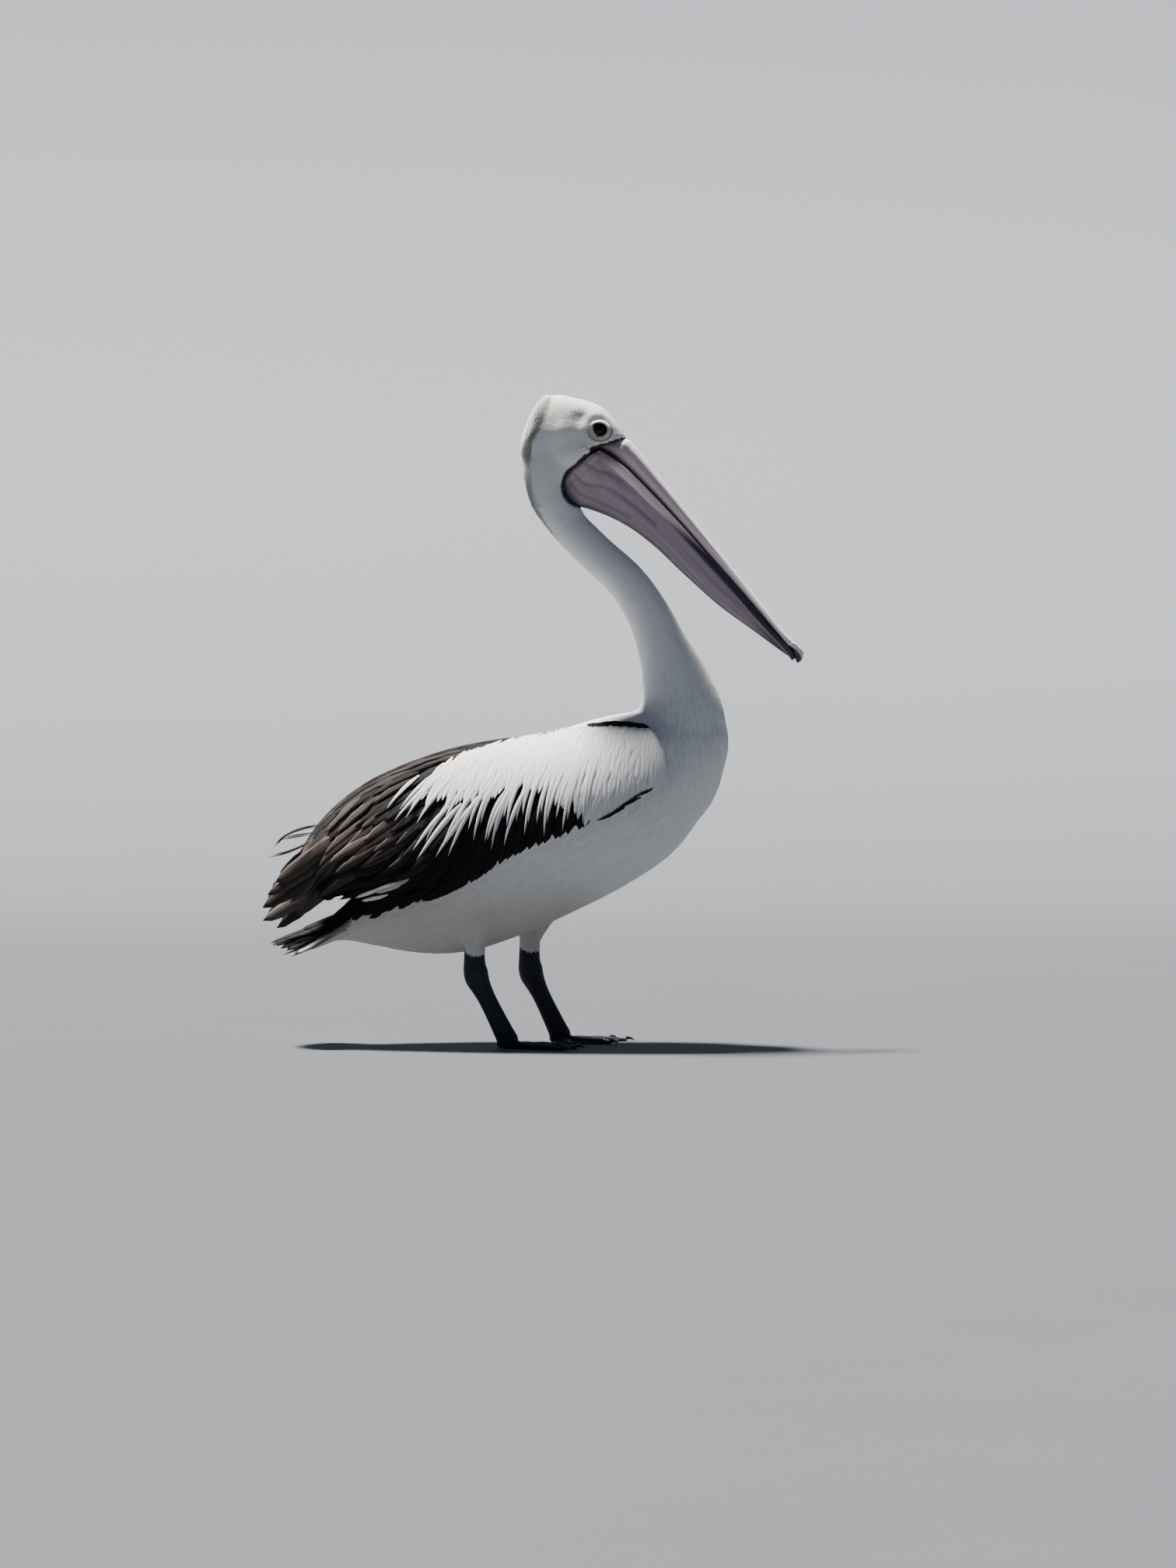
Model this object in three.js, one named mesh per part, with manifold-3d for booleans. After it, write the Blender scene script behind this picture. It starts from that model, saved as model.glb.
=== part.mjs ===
// An adult Australian pelican, life size, standing at rest with its bill lowered.
//
// Millimetres, +Z up. The bird faces +X and its left side is +Y. The origin is on the floor,
// under the middle of the whole bird. Flesh is modelled to the tips of the plumage.
import * as THREE from "three";
import { mergeVertices } from "three/addons/utils/BufferGeometryUtils.js";
import Module from "manifold-3d";

const wasm = await Module();
wasm.setup();

// ---------------------------------------------------------------- driving dimensions

const GAP = 0.3; // clearance between pieces that touch
const RAD = Math.PI / 180;

const TRUNK_CENTRE = [4, 0, 322];
const TRUNK_PITCH = 27; // how steeply the trunk rises from tail to breast
const HEAD_CENTRE = [58, 0, 935];
const HEAD_DIP = 25; // how far the long axis of the skull points below level
const BILL_ROOT = [144.6, 0, 936.6]; // where the forehead feathers meet the bill
const BILL_DIP = 50.5; // how far the bill points below level
const NAIL_START = 404; // along the bill

const EYE_CENTRE = [100.6, 22.6, 949]; // of the left eye
const EYE_RADIUS = 13.5;

const SHANK_TOP = 147; // height where the bare leg leaves the thigh feathers
const FOOT_TOP = 24; // height where the shank meets the foot
const WEB_THICK = 2.4;
const CLAW_LENGTH = 13;

// Each table row starts with the place along the piece; the other columns are read
// between rows by a smooth curve.

// Trunk, in its own frame: place, top of back, underside, half width.
const TRUNK = [
  [-396, 22, 5, 12],
  [-372, 31, -1, 23],
  [-340, 38, -9, 35],
  [-300, 49, -38, 50],
  [-250, 68, -76, 66],
  [-180, 96, -112, 84],
  [-100, 119, -127, 98],
  [0, 134, -133, 107],
  [100, 135, -132, 110],
  [180, 121, -120, 104],
  [230, 106, -97, 92],
  [275, 90, -68, 76],
  [310, 68, -37, 56],
  [331, 40, -8, 32],
  [338, 25, 8, 10],
];

// Neck, in the bird's frame: place, x, z, lean back from upright, half depth, half width.
const NECK = [
  [0, 120, 370, -50, 104, 94],
  [1, 184, 420, -33, 103, 86],
  [2, 215, 468, -18, 87, 74],
  [3, 229, 520, -2, 67, 58],
  [4, 215, 578, 15, 51, 44],
  [5, 195.5, 625, 26, 40.5, 36],
  [6, 176, 668, 34, 36, 32.5],
  [7, 143.5, 716, 42, 33, 31],
  [8, 101, 755.5, 53, 32, 30],
  [9, 75, 781, 45, 31.5, 30],
  [10, 52, 806, 35, 32, 30.5],
  [11, 29.5, 849, 12, 39.5, 33],
  [12, 22.5, 893, -5, 46, 35],
  [13, 31, 925, -25, 43, 33],
];

// Thin cuts between head, lengths of neck and trunk: centre, tilt, size.
const NECK_CUTS = [
  [[38, 0, 852], 10, 130],
  [[87, 0, 768], 49, 110],
  [[187, 0, 646], 30, 120],
  [[229, 0, 528], 2, 170],
];

// Head, in its own frame: place, crown, throat, half width.
const HEAD = [
  [-76, 10, -22, 8],
  [-71, 33, -45, 23],
  [-54, 51, -62, 32],
  [-22, 62, -68, 38],
  [3, 67, -66, 39.5],
  [22, 67, -58, 38.5],
  [46, 59, -44, 34],
  [65, 48, -26, 29],
  [78, 37, -8, 25],
  [86, 28, 6, 17],
  [90, 22, 13, 6],
];

// Upper bill, in the bill's frame: place, ridge, cutting edge, half width.
const UPPER_BILL = [
  [-19, -31, -42, 12],
  [-9, -13, -41, 21],
  [3, -0.5, -37, 25],
  [15, 1.5, -34, 24.5],
  [30, 1.7, -31, 23.5],
  [60, 1.4, -27.5, 21],
  [100, 1, -23.7, 18.5],
  [150, 0.3, -20.4, 16.5],
  [220, -0.6, -18, 15.5],
  [300, -1.7, -15, 16.5],
  [350, -2.4, -13.9, 17.5],
  [390, -2.6, -12.7, 16],
  [414, 0.6, -11.5, 11.5],
  [426, 0.2, -17, 7],
  [434, -9, -20, 3],
];

// Pouch, in the bill's frame: place, upper rim, keel, half width.
const POUCH = [
  [-21, -66, -98, 17],
  [-15, -50, -116, 32],
  [-2, -41, -127, 38],
  [12, -38, -131, 38.5],
  [28, -36, -128, 36],
  [45, -34, -116, 32],
  [70, -29, -101, 27],
  [100, -26, -87.5, 23],
  [150, -23, -74, 19],
  [220, -18.5, -65, 17],
  [284, -14.5, -55.5, 16.5],
  [342, -12.5, -41, 16],
  [390, -11, -29, 12.5],
  [416, -12, -22, 6],
];

// Side rod of the lower bill, in the bill's frame: place, mid height, half depth, out from
// the middle, half thickness.
const RAMUS = [
  [-13, -50, 5, 29, 3],
  [5, -45.5, 7, 32, 4],
  [30, -40, 8, 30, 4.4],
  [60, -36, 8, 25.5, 4.2],
  [100, -32, 7.8, 21, 4],
  [150, -27.8, 7, 17.5, 3.8],
  [220, -24.8, 6.3, 16, 3.6],
  [300, -21.2, 6, 16, 3.6],
  [350, -19.8, 5.8, 16, 3.6],
  [390, -17.8, 5, 12.5, 3.4],
  [412, -15, 4, 6, 3.2],
  [421, -14.5, 3, 0, 3],
];

// Folded wing, in the trunk's frame: place, ridge, lower edge, half width of the pair,
// angle from the ridge where this wing's upper edge lies.
const WING = [
  [-390, 114, 76, 40, 20],
  [-352, 138, 64, 50, 10],
  [-325, 156, 58, 62, 7],
  [-290, 175, 48, 76, 5],
  [-245, 190, 22, 92, 4],
  [-190, 198, -3, 108, 3],
  [-120, 195, -9, 119, 3],
  [-50, 184, -3, 125, 3],
  [20, 164, -8, 128, 4],
  [80, 144, -14, 127, 7],
  [125, 138, -14, 125, 17],
  [165, 131, -9, 121, 30],
  [205, 122, -3, 114, 41],
  [226, 108, 14, 106, 47],
  [236, 96, 34, 95, 52],
  [241, 84, 44, 80, 56],
];
const WING_THICK = [
  [-390, 5],
  [-352, 8],
  [-290, 12],
  [-200, 26],
  [-100, 60],
  [100, 60],
  [241, 40],
];
const WING_CUTS = [
  { ridge: [-60, 190], low: [-150, -8] }, // the arm's coverts give way to the long quills
  { ridge: [-300, 190], low: [-325, 40] }, // the quills of the wing tip begin
];

// Primary quills of one wing, in the trunk's frame: tip place, tip height, tip out from the
// middle, half breadth. Each runs from under the folded wing.
const PRIMARY_ROOT = [-215, 96, 62];
const PRIMARIES = [
  [-433, 77, 30, 14],
  [-419, 57, 34, 12],
  [-391, 60, 38, 12],
  [-424, 95, 36, 15],
  [-408, 109, 39, 15],
  [-388, 121, 41, 15],
];

// Tail: a fan of quills from the rump.
const TAIL = { feathers: 9, root: [-296, 26], length: 146, spread: 24, droop: 30, half: 15 };

// Legs, in the bird's frame: the left leg stands ahead of the right one.
const LEGS = [
  { side: "right", ankle: [-87, -55, 108], foot: [-39, -57], turn: -8 },
  { side: "left", ankle: [-4, 55, 106], foot: [41, 55], turn: 16 },
];

// Toes of a right foot: name, length, angle from the middle toe (towards the body), half width.
const TOES = [
  ["hallux", 46, 88, 4.4],
  ["inner", 84, 37, 5.2],
  ["middle", 108, 0, 5.8],
  ["outer", 101, -22, 5.4],
];

// ---------------------------------------------------------------- shapes

// Reads a table at any place along it.
function reader(rows) {
  const places = rows.map((row) => row[0]);
  const values = rows.flatMap((row) => row.slice(1));
  const columns = rows[0].length - 1;
  const curve = new THREE.CubicInterpolant(places, values, columns, new Float32Array(columns));
  return (place) => Array.from(curve.evaluate(place));
}

// Places from the first row of a table to its last, closer together near both ends.
function places(rows, steps) {
  const [first, last] = [rows[0][0], rows[rows.length - 1][0]];
  return Array.from({ length: steps + 1 }, (_, i) => {
    const share = i / steps;
    const eased = share - Math.sin(2 * Math.PI * share) / (2 * Math.PI);
    return first + (last - first) * (0.45 * share + 0.55 * eased);
  });
}

// One ring of a body: full is 2 for an ellipse, more for a squarer one, less for a keeled one.
function ring(centre, up, above, below, wide, sides, full = 2) {
  const across = new THREE.Vector3(0, 1, 0);
  return Array.from({ length: sides }, (_, i) => {
    const angle = (2 * Math.PI * i) / sides;
    const [c, s] = [Math.cos(angle), Math.sin(angle)];
    const rise = Math.sign(c) * Math.abs(c) ** (2 / full) * (c > 0 ? above : below);
    const out = Math.sign(s) * Math.abs(s) ** (2 / full) * wide;
    return centre.clone().addScaledVector(up, rise).addScaledVector(across, out);
  });
}

// A closed surface through a row of rings, with a point in the middle of each end.
function skinned(rings) {
  const sides = rings[0].length;
  const middle = (points) =>
    points.reduce((sum, p) => sum.add(p), new THREE.Vector3()).divideScalar(sides);
  const ends = [middle(rings[0]), middle(rings[rings.length - 1])];
  const points = [...rings.flat(), ...ends];
  const faces = [];
  const [start, finish] = [points.length - 2, points.length - 1];
  const last = (rings.length - 1) * sides;
  for (let i = 0; i < sides; i++) {
    const next = (i + 1) % sides;
    for (let r = 0; r < rings.length - 1; r++) {
      const [a, b, c, d] = [i, next, sides + i, sides + next].map((k) => r * sides + k);
      faces.push(a, b, c, b, d, c);
    }
    faces.push(start, next, i, finish, last + i, last + next);
  }
  return new THREE.BufferGeometry().setFromPoints(points).setIndex(faces);
}

// A body along the X axis of its own frame, from a table of place, top, underside, half width.
function hull(rows, steps, sides, { full = 2, grow = 0 } = {}) {
  const read = reader(rows);
  const up = new THREE.Vector3(0, 0, 1);
  const rings = places(rows, steps).map((place) => {
    const [top, bottom, wide] = read(place);
    const half = (top - bottom) / 2 + grow;
    const centre = new THREE.Vector3(place, 0, (top + bottom) / 2);
    return ring(centre, up, half, half, wide + grow, sides, full);
  });
  return skinned(rings);
}

// A limb through stations of centre, direction of the section's up, half depth, half width.
function limb(stations, sides, grow = 0) {
  return skinned(
    stations.map(([centre, up, deep, wide]) =>
      ring(centre, up, deep + grow, deep + grow, wide + grow, sides),
    ),
  );
}

// ---------------------------------------------------------------- solids

// A closed geometry as a solid, its faces turned outwards.
function solidOf(geometry) {
  const bare = geometry.clone();
  bare.deleteAttribute("normal");
  bare.deleteAttribute("uv");
  const merged = mergeVertices(bare, 1e-4);
  const triVerts = new Uint32Array(merged.index.array);
  const vertProperties = new Float32Array(merged.attributes.position.array);
  const made = new wasm.Manifold(new wasm.Mesh({ numProp: 3, vertProperties, triVerts }));
  if (made.volume() > 0) return made;
  triVerts.reverse();
  return new wasm.Manifold(new wasm.Mesh({ numProp: 3, vertProperties, triVerts }));
}

function geometryOf(solid) {
  const { vertProperties, triVerts, numProp } = solid.getMesh();
  const position = new Float32Array((vertProperties.length / numProp) * 3);
  for (let i = 0; i < position.length / 3; i++)
    position.set(vertProperties.subarray(i * numProp, i * numProp + 3), i * 3);
  return new THREE.BufferGeometry()
    .setAttribute("position", new THREE.BufferAttribute(position, 3))
    .setIndex(new THREE.BufferAttribute(triVerts, 1));
}

const joined = (solids) => solids.reduce((a, b) => a.add(b));
const largest = (solid) => solid.decompose().sort((a, b) => b.volume() - a.volume())[0];

function frameMatrix(centre, dip) {
  return new THREE.Matrix4()
    .makeRotationY(dip * RAD)
    .setPosition(new THREE.Vector3(...centre));
}
const trunkFrame = frameMatrix(TRUNK_CENTRE, -TRUNK_PITCH);
const headFrame = frameMatrix(HEAD_CENTRE, HEAD_DIP);
const billFrame = frameMatrix(BILL_ROOT, BILL_DIP);

const placed = (geometry, matrix) => solidOf(geometry.clone().applyMatrix4(matrix));
const unplaced = (geometry, matrix) => placed(geometry, matrix.clone().invert());

// A thin plate, for a cut: level until tilted, nose up, by so many degrees.
function slab(centre, lean, size) {
  const plate = new THREE.BoxGeometry(size, size, GAP);
  plate.rotateY(-lean * RAD);
  plate.translate(...centre);
  return solidOf(plate);
}

// ---------------------------------------------------------------- flesh

function trunkForm(grow = 0) {
  return hull(TRUNK, 19, 18, { full: 2.1, grow }).applyMatrix4(trunkFrame);
}

function neckForm(grow = 0) {
  const read = reader(NECK);
  const steps = 22;
  const stations = Array.from({ length: steps + 1 }, (_, i) => {
    const [x, z, lean, deep, wide] = read((i * (NECK.length - 1)) / steps);
    const up = new THREE.Vector3(-Math.cos(lean * RAD), 0, -Math.sin(lean * RAD));
    return [new THREE.Vector3(x, 0, z), up, deep, wide];
  });
  return limb(stations, 14, grow);
}

function headForm() {
  return hull(HEAD, 12, 16, { full: 2.1 }).applyMatrix4(headFrame);
}

function thighForm({ ankle }) {
  const [x, y] = ankle;
  const out = Math.sign(y);
  const up = new THREE.Vector3(1, 0, 0);
  const rows = [
    [x + 20, y - 12 * out, 262, 66, 34],
    [x + 12, y - 5 * out, 222, 50, 34],
    [x + 4, y - 1 * out, 190, 33, 27],
    [x, y, 170, 23, 20],
    [x - 2, y, 157, 18.5, 15.5],
    [x - 2.5, y, SHANK_TOP - 2, 16.5, 13],
  ];
  return limb(
    rows.map(([cx, cy, cz, deep, wide]) => [new THREE.Vector3(cx, cy, cz), up, deep, wide]),
    14,
  );
}

// ---------------------------------------------------------------- bill, in its own frame

function upperBillForm(grow = 0) {
  return hull(UPPER_BILL, 16, 10, { full: 2.3, grow });
}

function pouchForm(grow = 0) {
  const read = reader(POUCH);
  const up = new THREE.Vector3(0, 0, 1);
  const rim = 0.22; // share of the depth that rounds in above the widest level
  const rings = places(POUCH, 14).map((place) => {
    const [top, bottom, wide] = read(place);
    const depth = top - bottom;
    const centre = new THREE.Vector3(place, 0, top - rim * depth);
    return ring(centre, up, rim * depth + grow, (1 - rim) * depth + grow, wide + grow, 12, 1.75);
  });
  return skinned(rings);
}

function ramusForm(side, grow = 0) {
  const read = reader(RAMUS);
  const up = new THREE.Vector3(0, 0, 1);
  const rings = places(RAMUS, 10).map((place) => {
    const [height, deep, out, thick] = read(place);
    const centre = new THREE.Vector3(place, side * out, height);
    return ring(centre, up, deep + grow, deep + grow, thick + grow, 6);
  });
  return skinned(rings);
}

// ---------------------------------------------------------------- feathers

// A flat quill from one point to another: broad in the middle, round at the tip.
function quill(from, to, normal, half, thick) {
  const along = to.clone().sub(from);
  const across = new THREE.Vector3().crossVectors(normal, along).normalize();
  const face = new THREE.Vector3().crossVectors(along, across).normalize();
  const shape = [
    [0, 0.6],
    [0.55, 1],
    [0.88, 0.75],
    [1, 0.15],
  ];
  return skinned(
    shape.map(([share, broad]) => {
      const centre = from.clone().addScaledVector(along, share);
      return [
        [1, 0],
        [0, 1],
        [-1, 0],
        [0, -1],
      ].map(([a, b]) =>
        centre
          .clone()
          .addScaledVector(across, a * half * broad)
          .addScaledVector(face, (b * thick) / 2),
      );
    }),
  );
}

// The folded wing as a shell from its upper edge round to its lower one.
function wingShell(side) {
  const read = reader(WING);
  const thickness = reader(WING_THICK);
  const arc = 6;
  const rings = places(WING, 16).map((place) => {
    const [ridge, low, wide, start] = read(place);
    const [thick] = thickness(place);
    const point = (angle, inset) =>
      new THREE.Vector3(
        place,
        side * Math.max(GAP, (wide - inset) * Math.sin(angle)),
        low + (ridge - low - inset) * Math.cos(angle),
      );
    const angles = Array.from(
      { length: arc + 1 },
      (_, i) => (start + ((90 - start) * i) / arc) * RAD,
    );
    const outside = angles.map((angle) => point(angle, 0));
    const inside = angles.map((angle) => point(angle, thick)).reverse();
    return [...outside, ...inside];
  });
  return skinned(rings);
}

function primaries(side) {
  const root = new THREE.Vector3(PRIMARY_ROOT[0], side * PRIMARY_ROOT[2], PRIMARY_ROOT[1]);
  return PRIMARIES.map(([place, height, out, half], i) => {
    const tip = new THREE.Vector3(place, side * out, height);
    const from = root.clone().add(new THREE.Vector3(0, side * i * 1.5, i * 12));
    const normal = new THREE.Vector3(0, side, 0.35);
    return solidOf(quill(from, tip, normal, half, 4));
  });
}

function tailQuills() {
  const { feathers, root, length, spread, droop, half } = TAIL;
  return Array.from({ length: feathers }, (_, i) => {
    const share = (2 * i) / (feathers - 1) - 1; // -1 at the right edge, 1 at the left
    const angle = share * spread * RAD;
    const reach = length * (1 - 0.16 * share * share);
    const from = new THREE.Vector3(root[0], share * 22, root[1] - 4 * share * share);
    const to = new THREE.Vector3(
      root[0] - reach * Math.cos(angle),
      share * 22 + reach * Math.sin(angle),
      root[1] + 14 - droop * share * share,
    );
    const normal = new THREE.Vector3(0, 0.5 * share, 1);
    return solidOf(quill(from, to, normal, half, 5));
  });
}

// ---------------------------------------------------------------- feet, in their own frame

// A foot's frame has its origin on the floor under the foot joint, with +X along the middle
// toe and +Y towards the body for a right foot.
function toeTip([, length, angle]) {
  return new THREE.Vector3(length * Math.cos(angle * RAD), length * Math.sin(angle * RAD), 0);
}

function toeForm(toe) {
  const half = toe[3];
  const tip = toeTip(toe);
  const across = new THREE.Vector3(-tip.y, tip.x, 0).normalize();
  const shape = [
    [0, 14, 1.4],
    [0.3, 9.5, 1.05],
    [0.85, 7, 0.9],
    [0.97, 5, 0.65],
    [1, 3, 0.35],
  ];
  return skinned(
    shape.map(([share, tall, broad]) => {
      const centre = tip.clone().multiplyScalar(share);
      return [
        [1, 0],
        [1, 0.35],
        [0.55, 1],
        [-0.55, 1],
        [-1, 0.35],
        [-1, 0],
      ].map(([a, b]) =>
        centre
          .clone()
          .addScaledVector(across, a * half * broad)
          .setZ(b * tall),
      );
    }),
  );
}

function webForm() {
  const tips = TOES.map((toe) => toeTip(toe).multiplyScalar(0.93));
  const outline = new THREE.Shape().moveTo(-6, 4);
  outline.lineTo(tips[0].x, tips[0].y);
  for (let i = 1; i < tips.length; i++) {
    const dip = tips[i - 1].clone().add(tips[i]).multiplyScalar(0.455); // inside the straight edge
    outline.quadraticCurveTo(dip.x, dip.y, tips[i].x, tips[i].y);
  }
  outline.lineTo(-6, -6);
  return new THREE.ExtrudeGeometry(outline, {
    depth: WEB_THICK,
    bevelEnabled: false,
    curveSegments: 4,
  });
}

function clawForm([, length, angle, half]) {
  const start = length + GAP;
  const sections = [
    [0, 0.62, 3.1],
    [0.4, 0.5, 2.4],
    [0.75, 0.3, 1.4],
    [1, 0.08, 0.4],
  ];
  const up = new THREE.Vector3(0, 0, 1);
  const claw = limb(
    sections.map(([share, broad, tall]) => [
      new THREE.Vector3(start + share * CLAW_LENGTH, 0, tall + 0.4 + 1.6 * (1 - share)),
      up,
      tall,
      half * broad,
    ]),
    8,
  );
  return claw.rotateZ(angle * RAD);
}

// The bare leg from the thigh feathers down to the floor, in the bird's frame.
function legForm({ ankle, foot }, grow = 0) {
  const [ax, y, az] = ankle;
  const [fx, fy] = foot;
  const lean = Math.atan2(fx - ax, az - FOOT_TOP);
  const level = new THREE.Vector3(1, 0, 0);
  const facing = (share) => new THREE.Vector3(Math.cos(lean * share), 0, Math.sin(lean * share));
  const between = (share) =>
    new THREE.Vector3(ax + (fx - ax) * share, y + (fy - y) * share, az + (12 - az) * share);
  return limb(
    [
      [new THREE.Vector3(ax - 3, y, SHANK_TOP + 2), level, 15, 9.5],
      [new THREE.Vector3(ax - 3, y, az + 24), level, 15.5, 10.5],
      [new THREE.Vector3(ax - 1.5, y, az + 10), facing(0.3), 17.5, 12.3],
      [between(0.03), facing(0.6), 17, 12],
      [between(0.18), facing(1), 14.2, 9.6],
      [between(0.4), facing(1), 12.6, 7.8],
      [between(0.84), facing(0.9), 14, 9.6],
      [new THREE.Vector3(fx - 1, fy, 14), facing(0.4), 15.5, 11],
      [new THREE.Vector3(fx - 1, fy, 6), level, 15, 11.5],
      [new THREE.Vector3(fx - 1, fy, 0), level, 12, 9.5],
    ],
    12,
    grow,
  );
}

// ---------------------------------------------------------------- the bird

const COLOURS = {
  plumage: [0xf0eee8, 0.85],
  flight: [0x2a2320, 0.7],
  bill: [0xe3b7ae, 0.45],
  pouch: [0xd7a79c, 0.5],
  nail: [0xcfc08a, 0.4],
  eye: [0x1c120c, 0.08],
  leg: [0x2f3b4c, 0.55],
  claw: [0x1f1c1b, 0.4],
};

function mesh(name, solid, finish) {
  const [color, roughness] = COLOURS[finish];
  const material = new THREE.MeshStandardMaterial({ color, roughness, metalness: 0 });
  const made = new THREE.Mesh(geometryOf(solid), material);
  made.name = name;
  return made;
}

function framed(centre, dip) {
  const group = new THREE.Group();
  group.position.set(...centre);
  group.rotation.y = dip * RAD;
  return group;
}

const bird = new THREE.Group();

// Bill pieces, each in the bill's frame, cut back from one another.
const upper = solidOf(upperBillForm());
const rods = joined([1, -1].map((side) => solidOf(ramusForm(side))));
const grownRods = joined([1, -1].map((side) => solidOf(ramusForm(side, GAP))));
const lower = largest(rods.subtract(solidOf(upperBillForm(GAP))));
const pouch = largest(
  solidOf(pouchForm()).subtract(grownRods).subtract(solidOf(upperBillForm(GAP))),
);
const nailCut = solidOf(new THREE.BoxGeometry(GAP, 80, 80).translate(NAIL_START, 0, 0));
const [beak, nail] = upper
  .subtract(nailCut)
  .decompose()
  .sort((a, b) => b.volume() - a.volume());

const bill = framed(BILL_ROOT, BILL_DIP);
bill.add(
  mesh("bill_upper", beak, "bill"),
  mesh("bill_nail", nail, "nail"),
  mesh("bill_lower", lower, "bill"),
  mesh("bill_pouch", pouch, "pouch"),
);
bird.add(bill);

// Eyes, and the sockets they sit in.
const eyes = [1, -1].map((side) => {
  const [x, y, z] = EYE_CENTRE;
  const globe = (radius) =>
    new THREE.SphereGeometry(radius, 12, 8).translate(x, side * y, z);
  return { side, eye: solidOf(globe(EYE_RADIUS)), socket: solidOf(globe(EYE_RADIUS + GAP)) };
});
for (const { side, eye } of eyes) bird.add(mesh(side > 0 ? "eye_left" : "eye_right", eye, "eye"));

// Head, neck and trunk are one body parted by thin cuts.
const billSocket = joined(
  [upperBillForm(GAP), pouchForm(GAP), ramusForm(1, GAP), ramusForm(-1, GAP)].map((form) =>
    placed(form, billFrame),
  ),
);
let flesh = joined([trunkForm(), neckForm(), headForm()].map(solidOf)).subtract(billSocket);
for (const { socket } of eyes) flesh = flesh.subtract(socket);
for (const cut of NECK_CUTS) flesh = flesh.subtract(slab(...cut));
const fleshNames = ["head", "neck_upper", "neck_middle", "neck_lower", "trunk"];
flesh
  .decompose()
  .sort((a, b) => b.volume() - a.volume())
  .slice(0, fleshNames.length)
  .sort((a, b) => b.boundingBox().max[2] - a.boundingBox().max[2])
  .forEach((piece, i) => bird.add(mesh(fleshNames[i], piece, "plumage")));

// Wings and tail, in the trunk's frame.
const bodySocket = joined([
  unplaced(trunkForm(GAP), trunkFrame),
  unplaced(neckForm(GAP), trunkFrame),
]);
const wingCuts = WING_CUTS.map(({ ridge, low }) => {
  const middle = [(ridge[0] + low[0]) / 2, 0, (ridge[1] + low[1]) / 2];
  return slab(middle, Math.atan2(ridge[1] - low[1], ridge[0] - low[0]) / RAD, 500);
});
const trunkGroup = framed(TRUNK_CENTRE, -TRUNK_PITCH);
for (const [side, name] of [
  [-1, "right"],
  [1, "left"],
]) {
  const half = solidOf(new THREE.BoxGeometry(900, 300, 900).translate(0, side * (150 + GAP), 0));
  let wing = joined([solidOf(wingShell(side)), joined(primaries(side)).intersect(half)]);
  for (const cut of [bodySocket, ...wingCuts]) wing = wing.subtract(cut);
  const [arm, quills, tip] = wing
    .decompose()
    .sort((a, b) => b.volume() - a.volume())
    .slice(0, 3)
    .sort((a, b) => b.boundingBox().max[0] - a.boundingBox().max[0]);
  trunkGroup.add(
    mesh("wing_arm_" + name, arm, "plumage"),
    mesh("wing_quills_" + name, quills, "flight"),
    mesh("wing_tip_" + name, tip, "flight"),
  );
}
const tail = largest(joined(tailQuills()).subtract(bodySocket));
trunkGroup.add(mesh("tail", tail, "flight"));
bird.add(trunkGroup);

// Legs and feet.
const grownTrunk = joined([trunkForm(GAP), neckForm(GAP)].map(solidOf));
for (const leg of LEGS) {
  const { side, ankle, foot, turn } = leg;
  const mirror = side === "left" ? -1 : 1;
  const footFrame = new THREE.Matrix4().makeRotationZ(turn * RAD).setPosition(foot[0], foot[1], 0);
  const turned = (form) => placed(form.scale(1, mirror, 1), footFrame);
  const lean = Math.atan2(foot[0] - ankle[0], ankle[2] - FOOT_TOP) / RAD;
  const whole = solidOf(legForm(leg));
  const [heel, shank] = whole
    .subtract(slab([foot[0], foot[1], FOOT_TOP], lean * 0.6, 60))
    .decompose()
    .sort((a, b) => a.boundingBox().min[2] - b.boundingBox().min[2]);
  const sole = joined([heel, ...[...TOES.map(toeForm), webForm()].map(turned)]);
  const thigh = largest(solidOf(thighForm(leg)).subtract(grownTrunk).subtract(solidOf(legForm(leg, GAP))));
  bird.add(
    mesh("thigh_" + side, thigh, "plumage"),
    mesh("shank_" + side, shank, "leg"),
    mesh("foot_" + side, sole, "leg"),
  );
  for (const toe of TOES)
    bird.add(mesh("claw_" + toe[0] + "_" + side, turned(clawForm(toe)), "claw"));
}

// Stand the bird with the origin under the middle of its length.
const reach = new THREE.Box3().setFromObject(bird, true);
bird.position.x = -(reach.min.x + reach.max.x) / 2;
const pelican = new THREE.Group();
pelican.name = "pelican";
pelican.add(bird);

export default pelican;
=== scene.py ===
"""A pelican at rest, life size: one skin under a coat of solid feathers, with the bill, the
eyes, the legs and the flight feathers as pieces of their own. The bird faces +X."""

import math

import bpy
import numpy as np
from mathutils import Matrix, Vector
from mathutils.bvhtree import BVHTree
from mathutils.kdtree import KDTree


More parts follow.
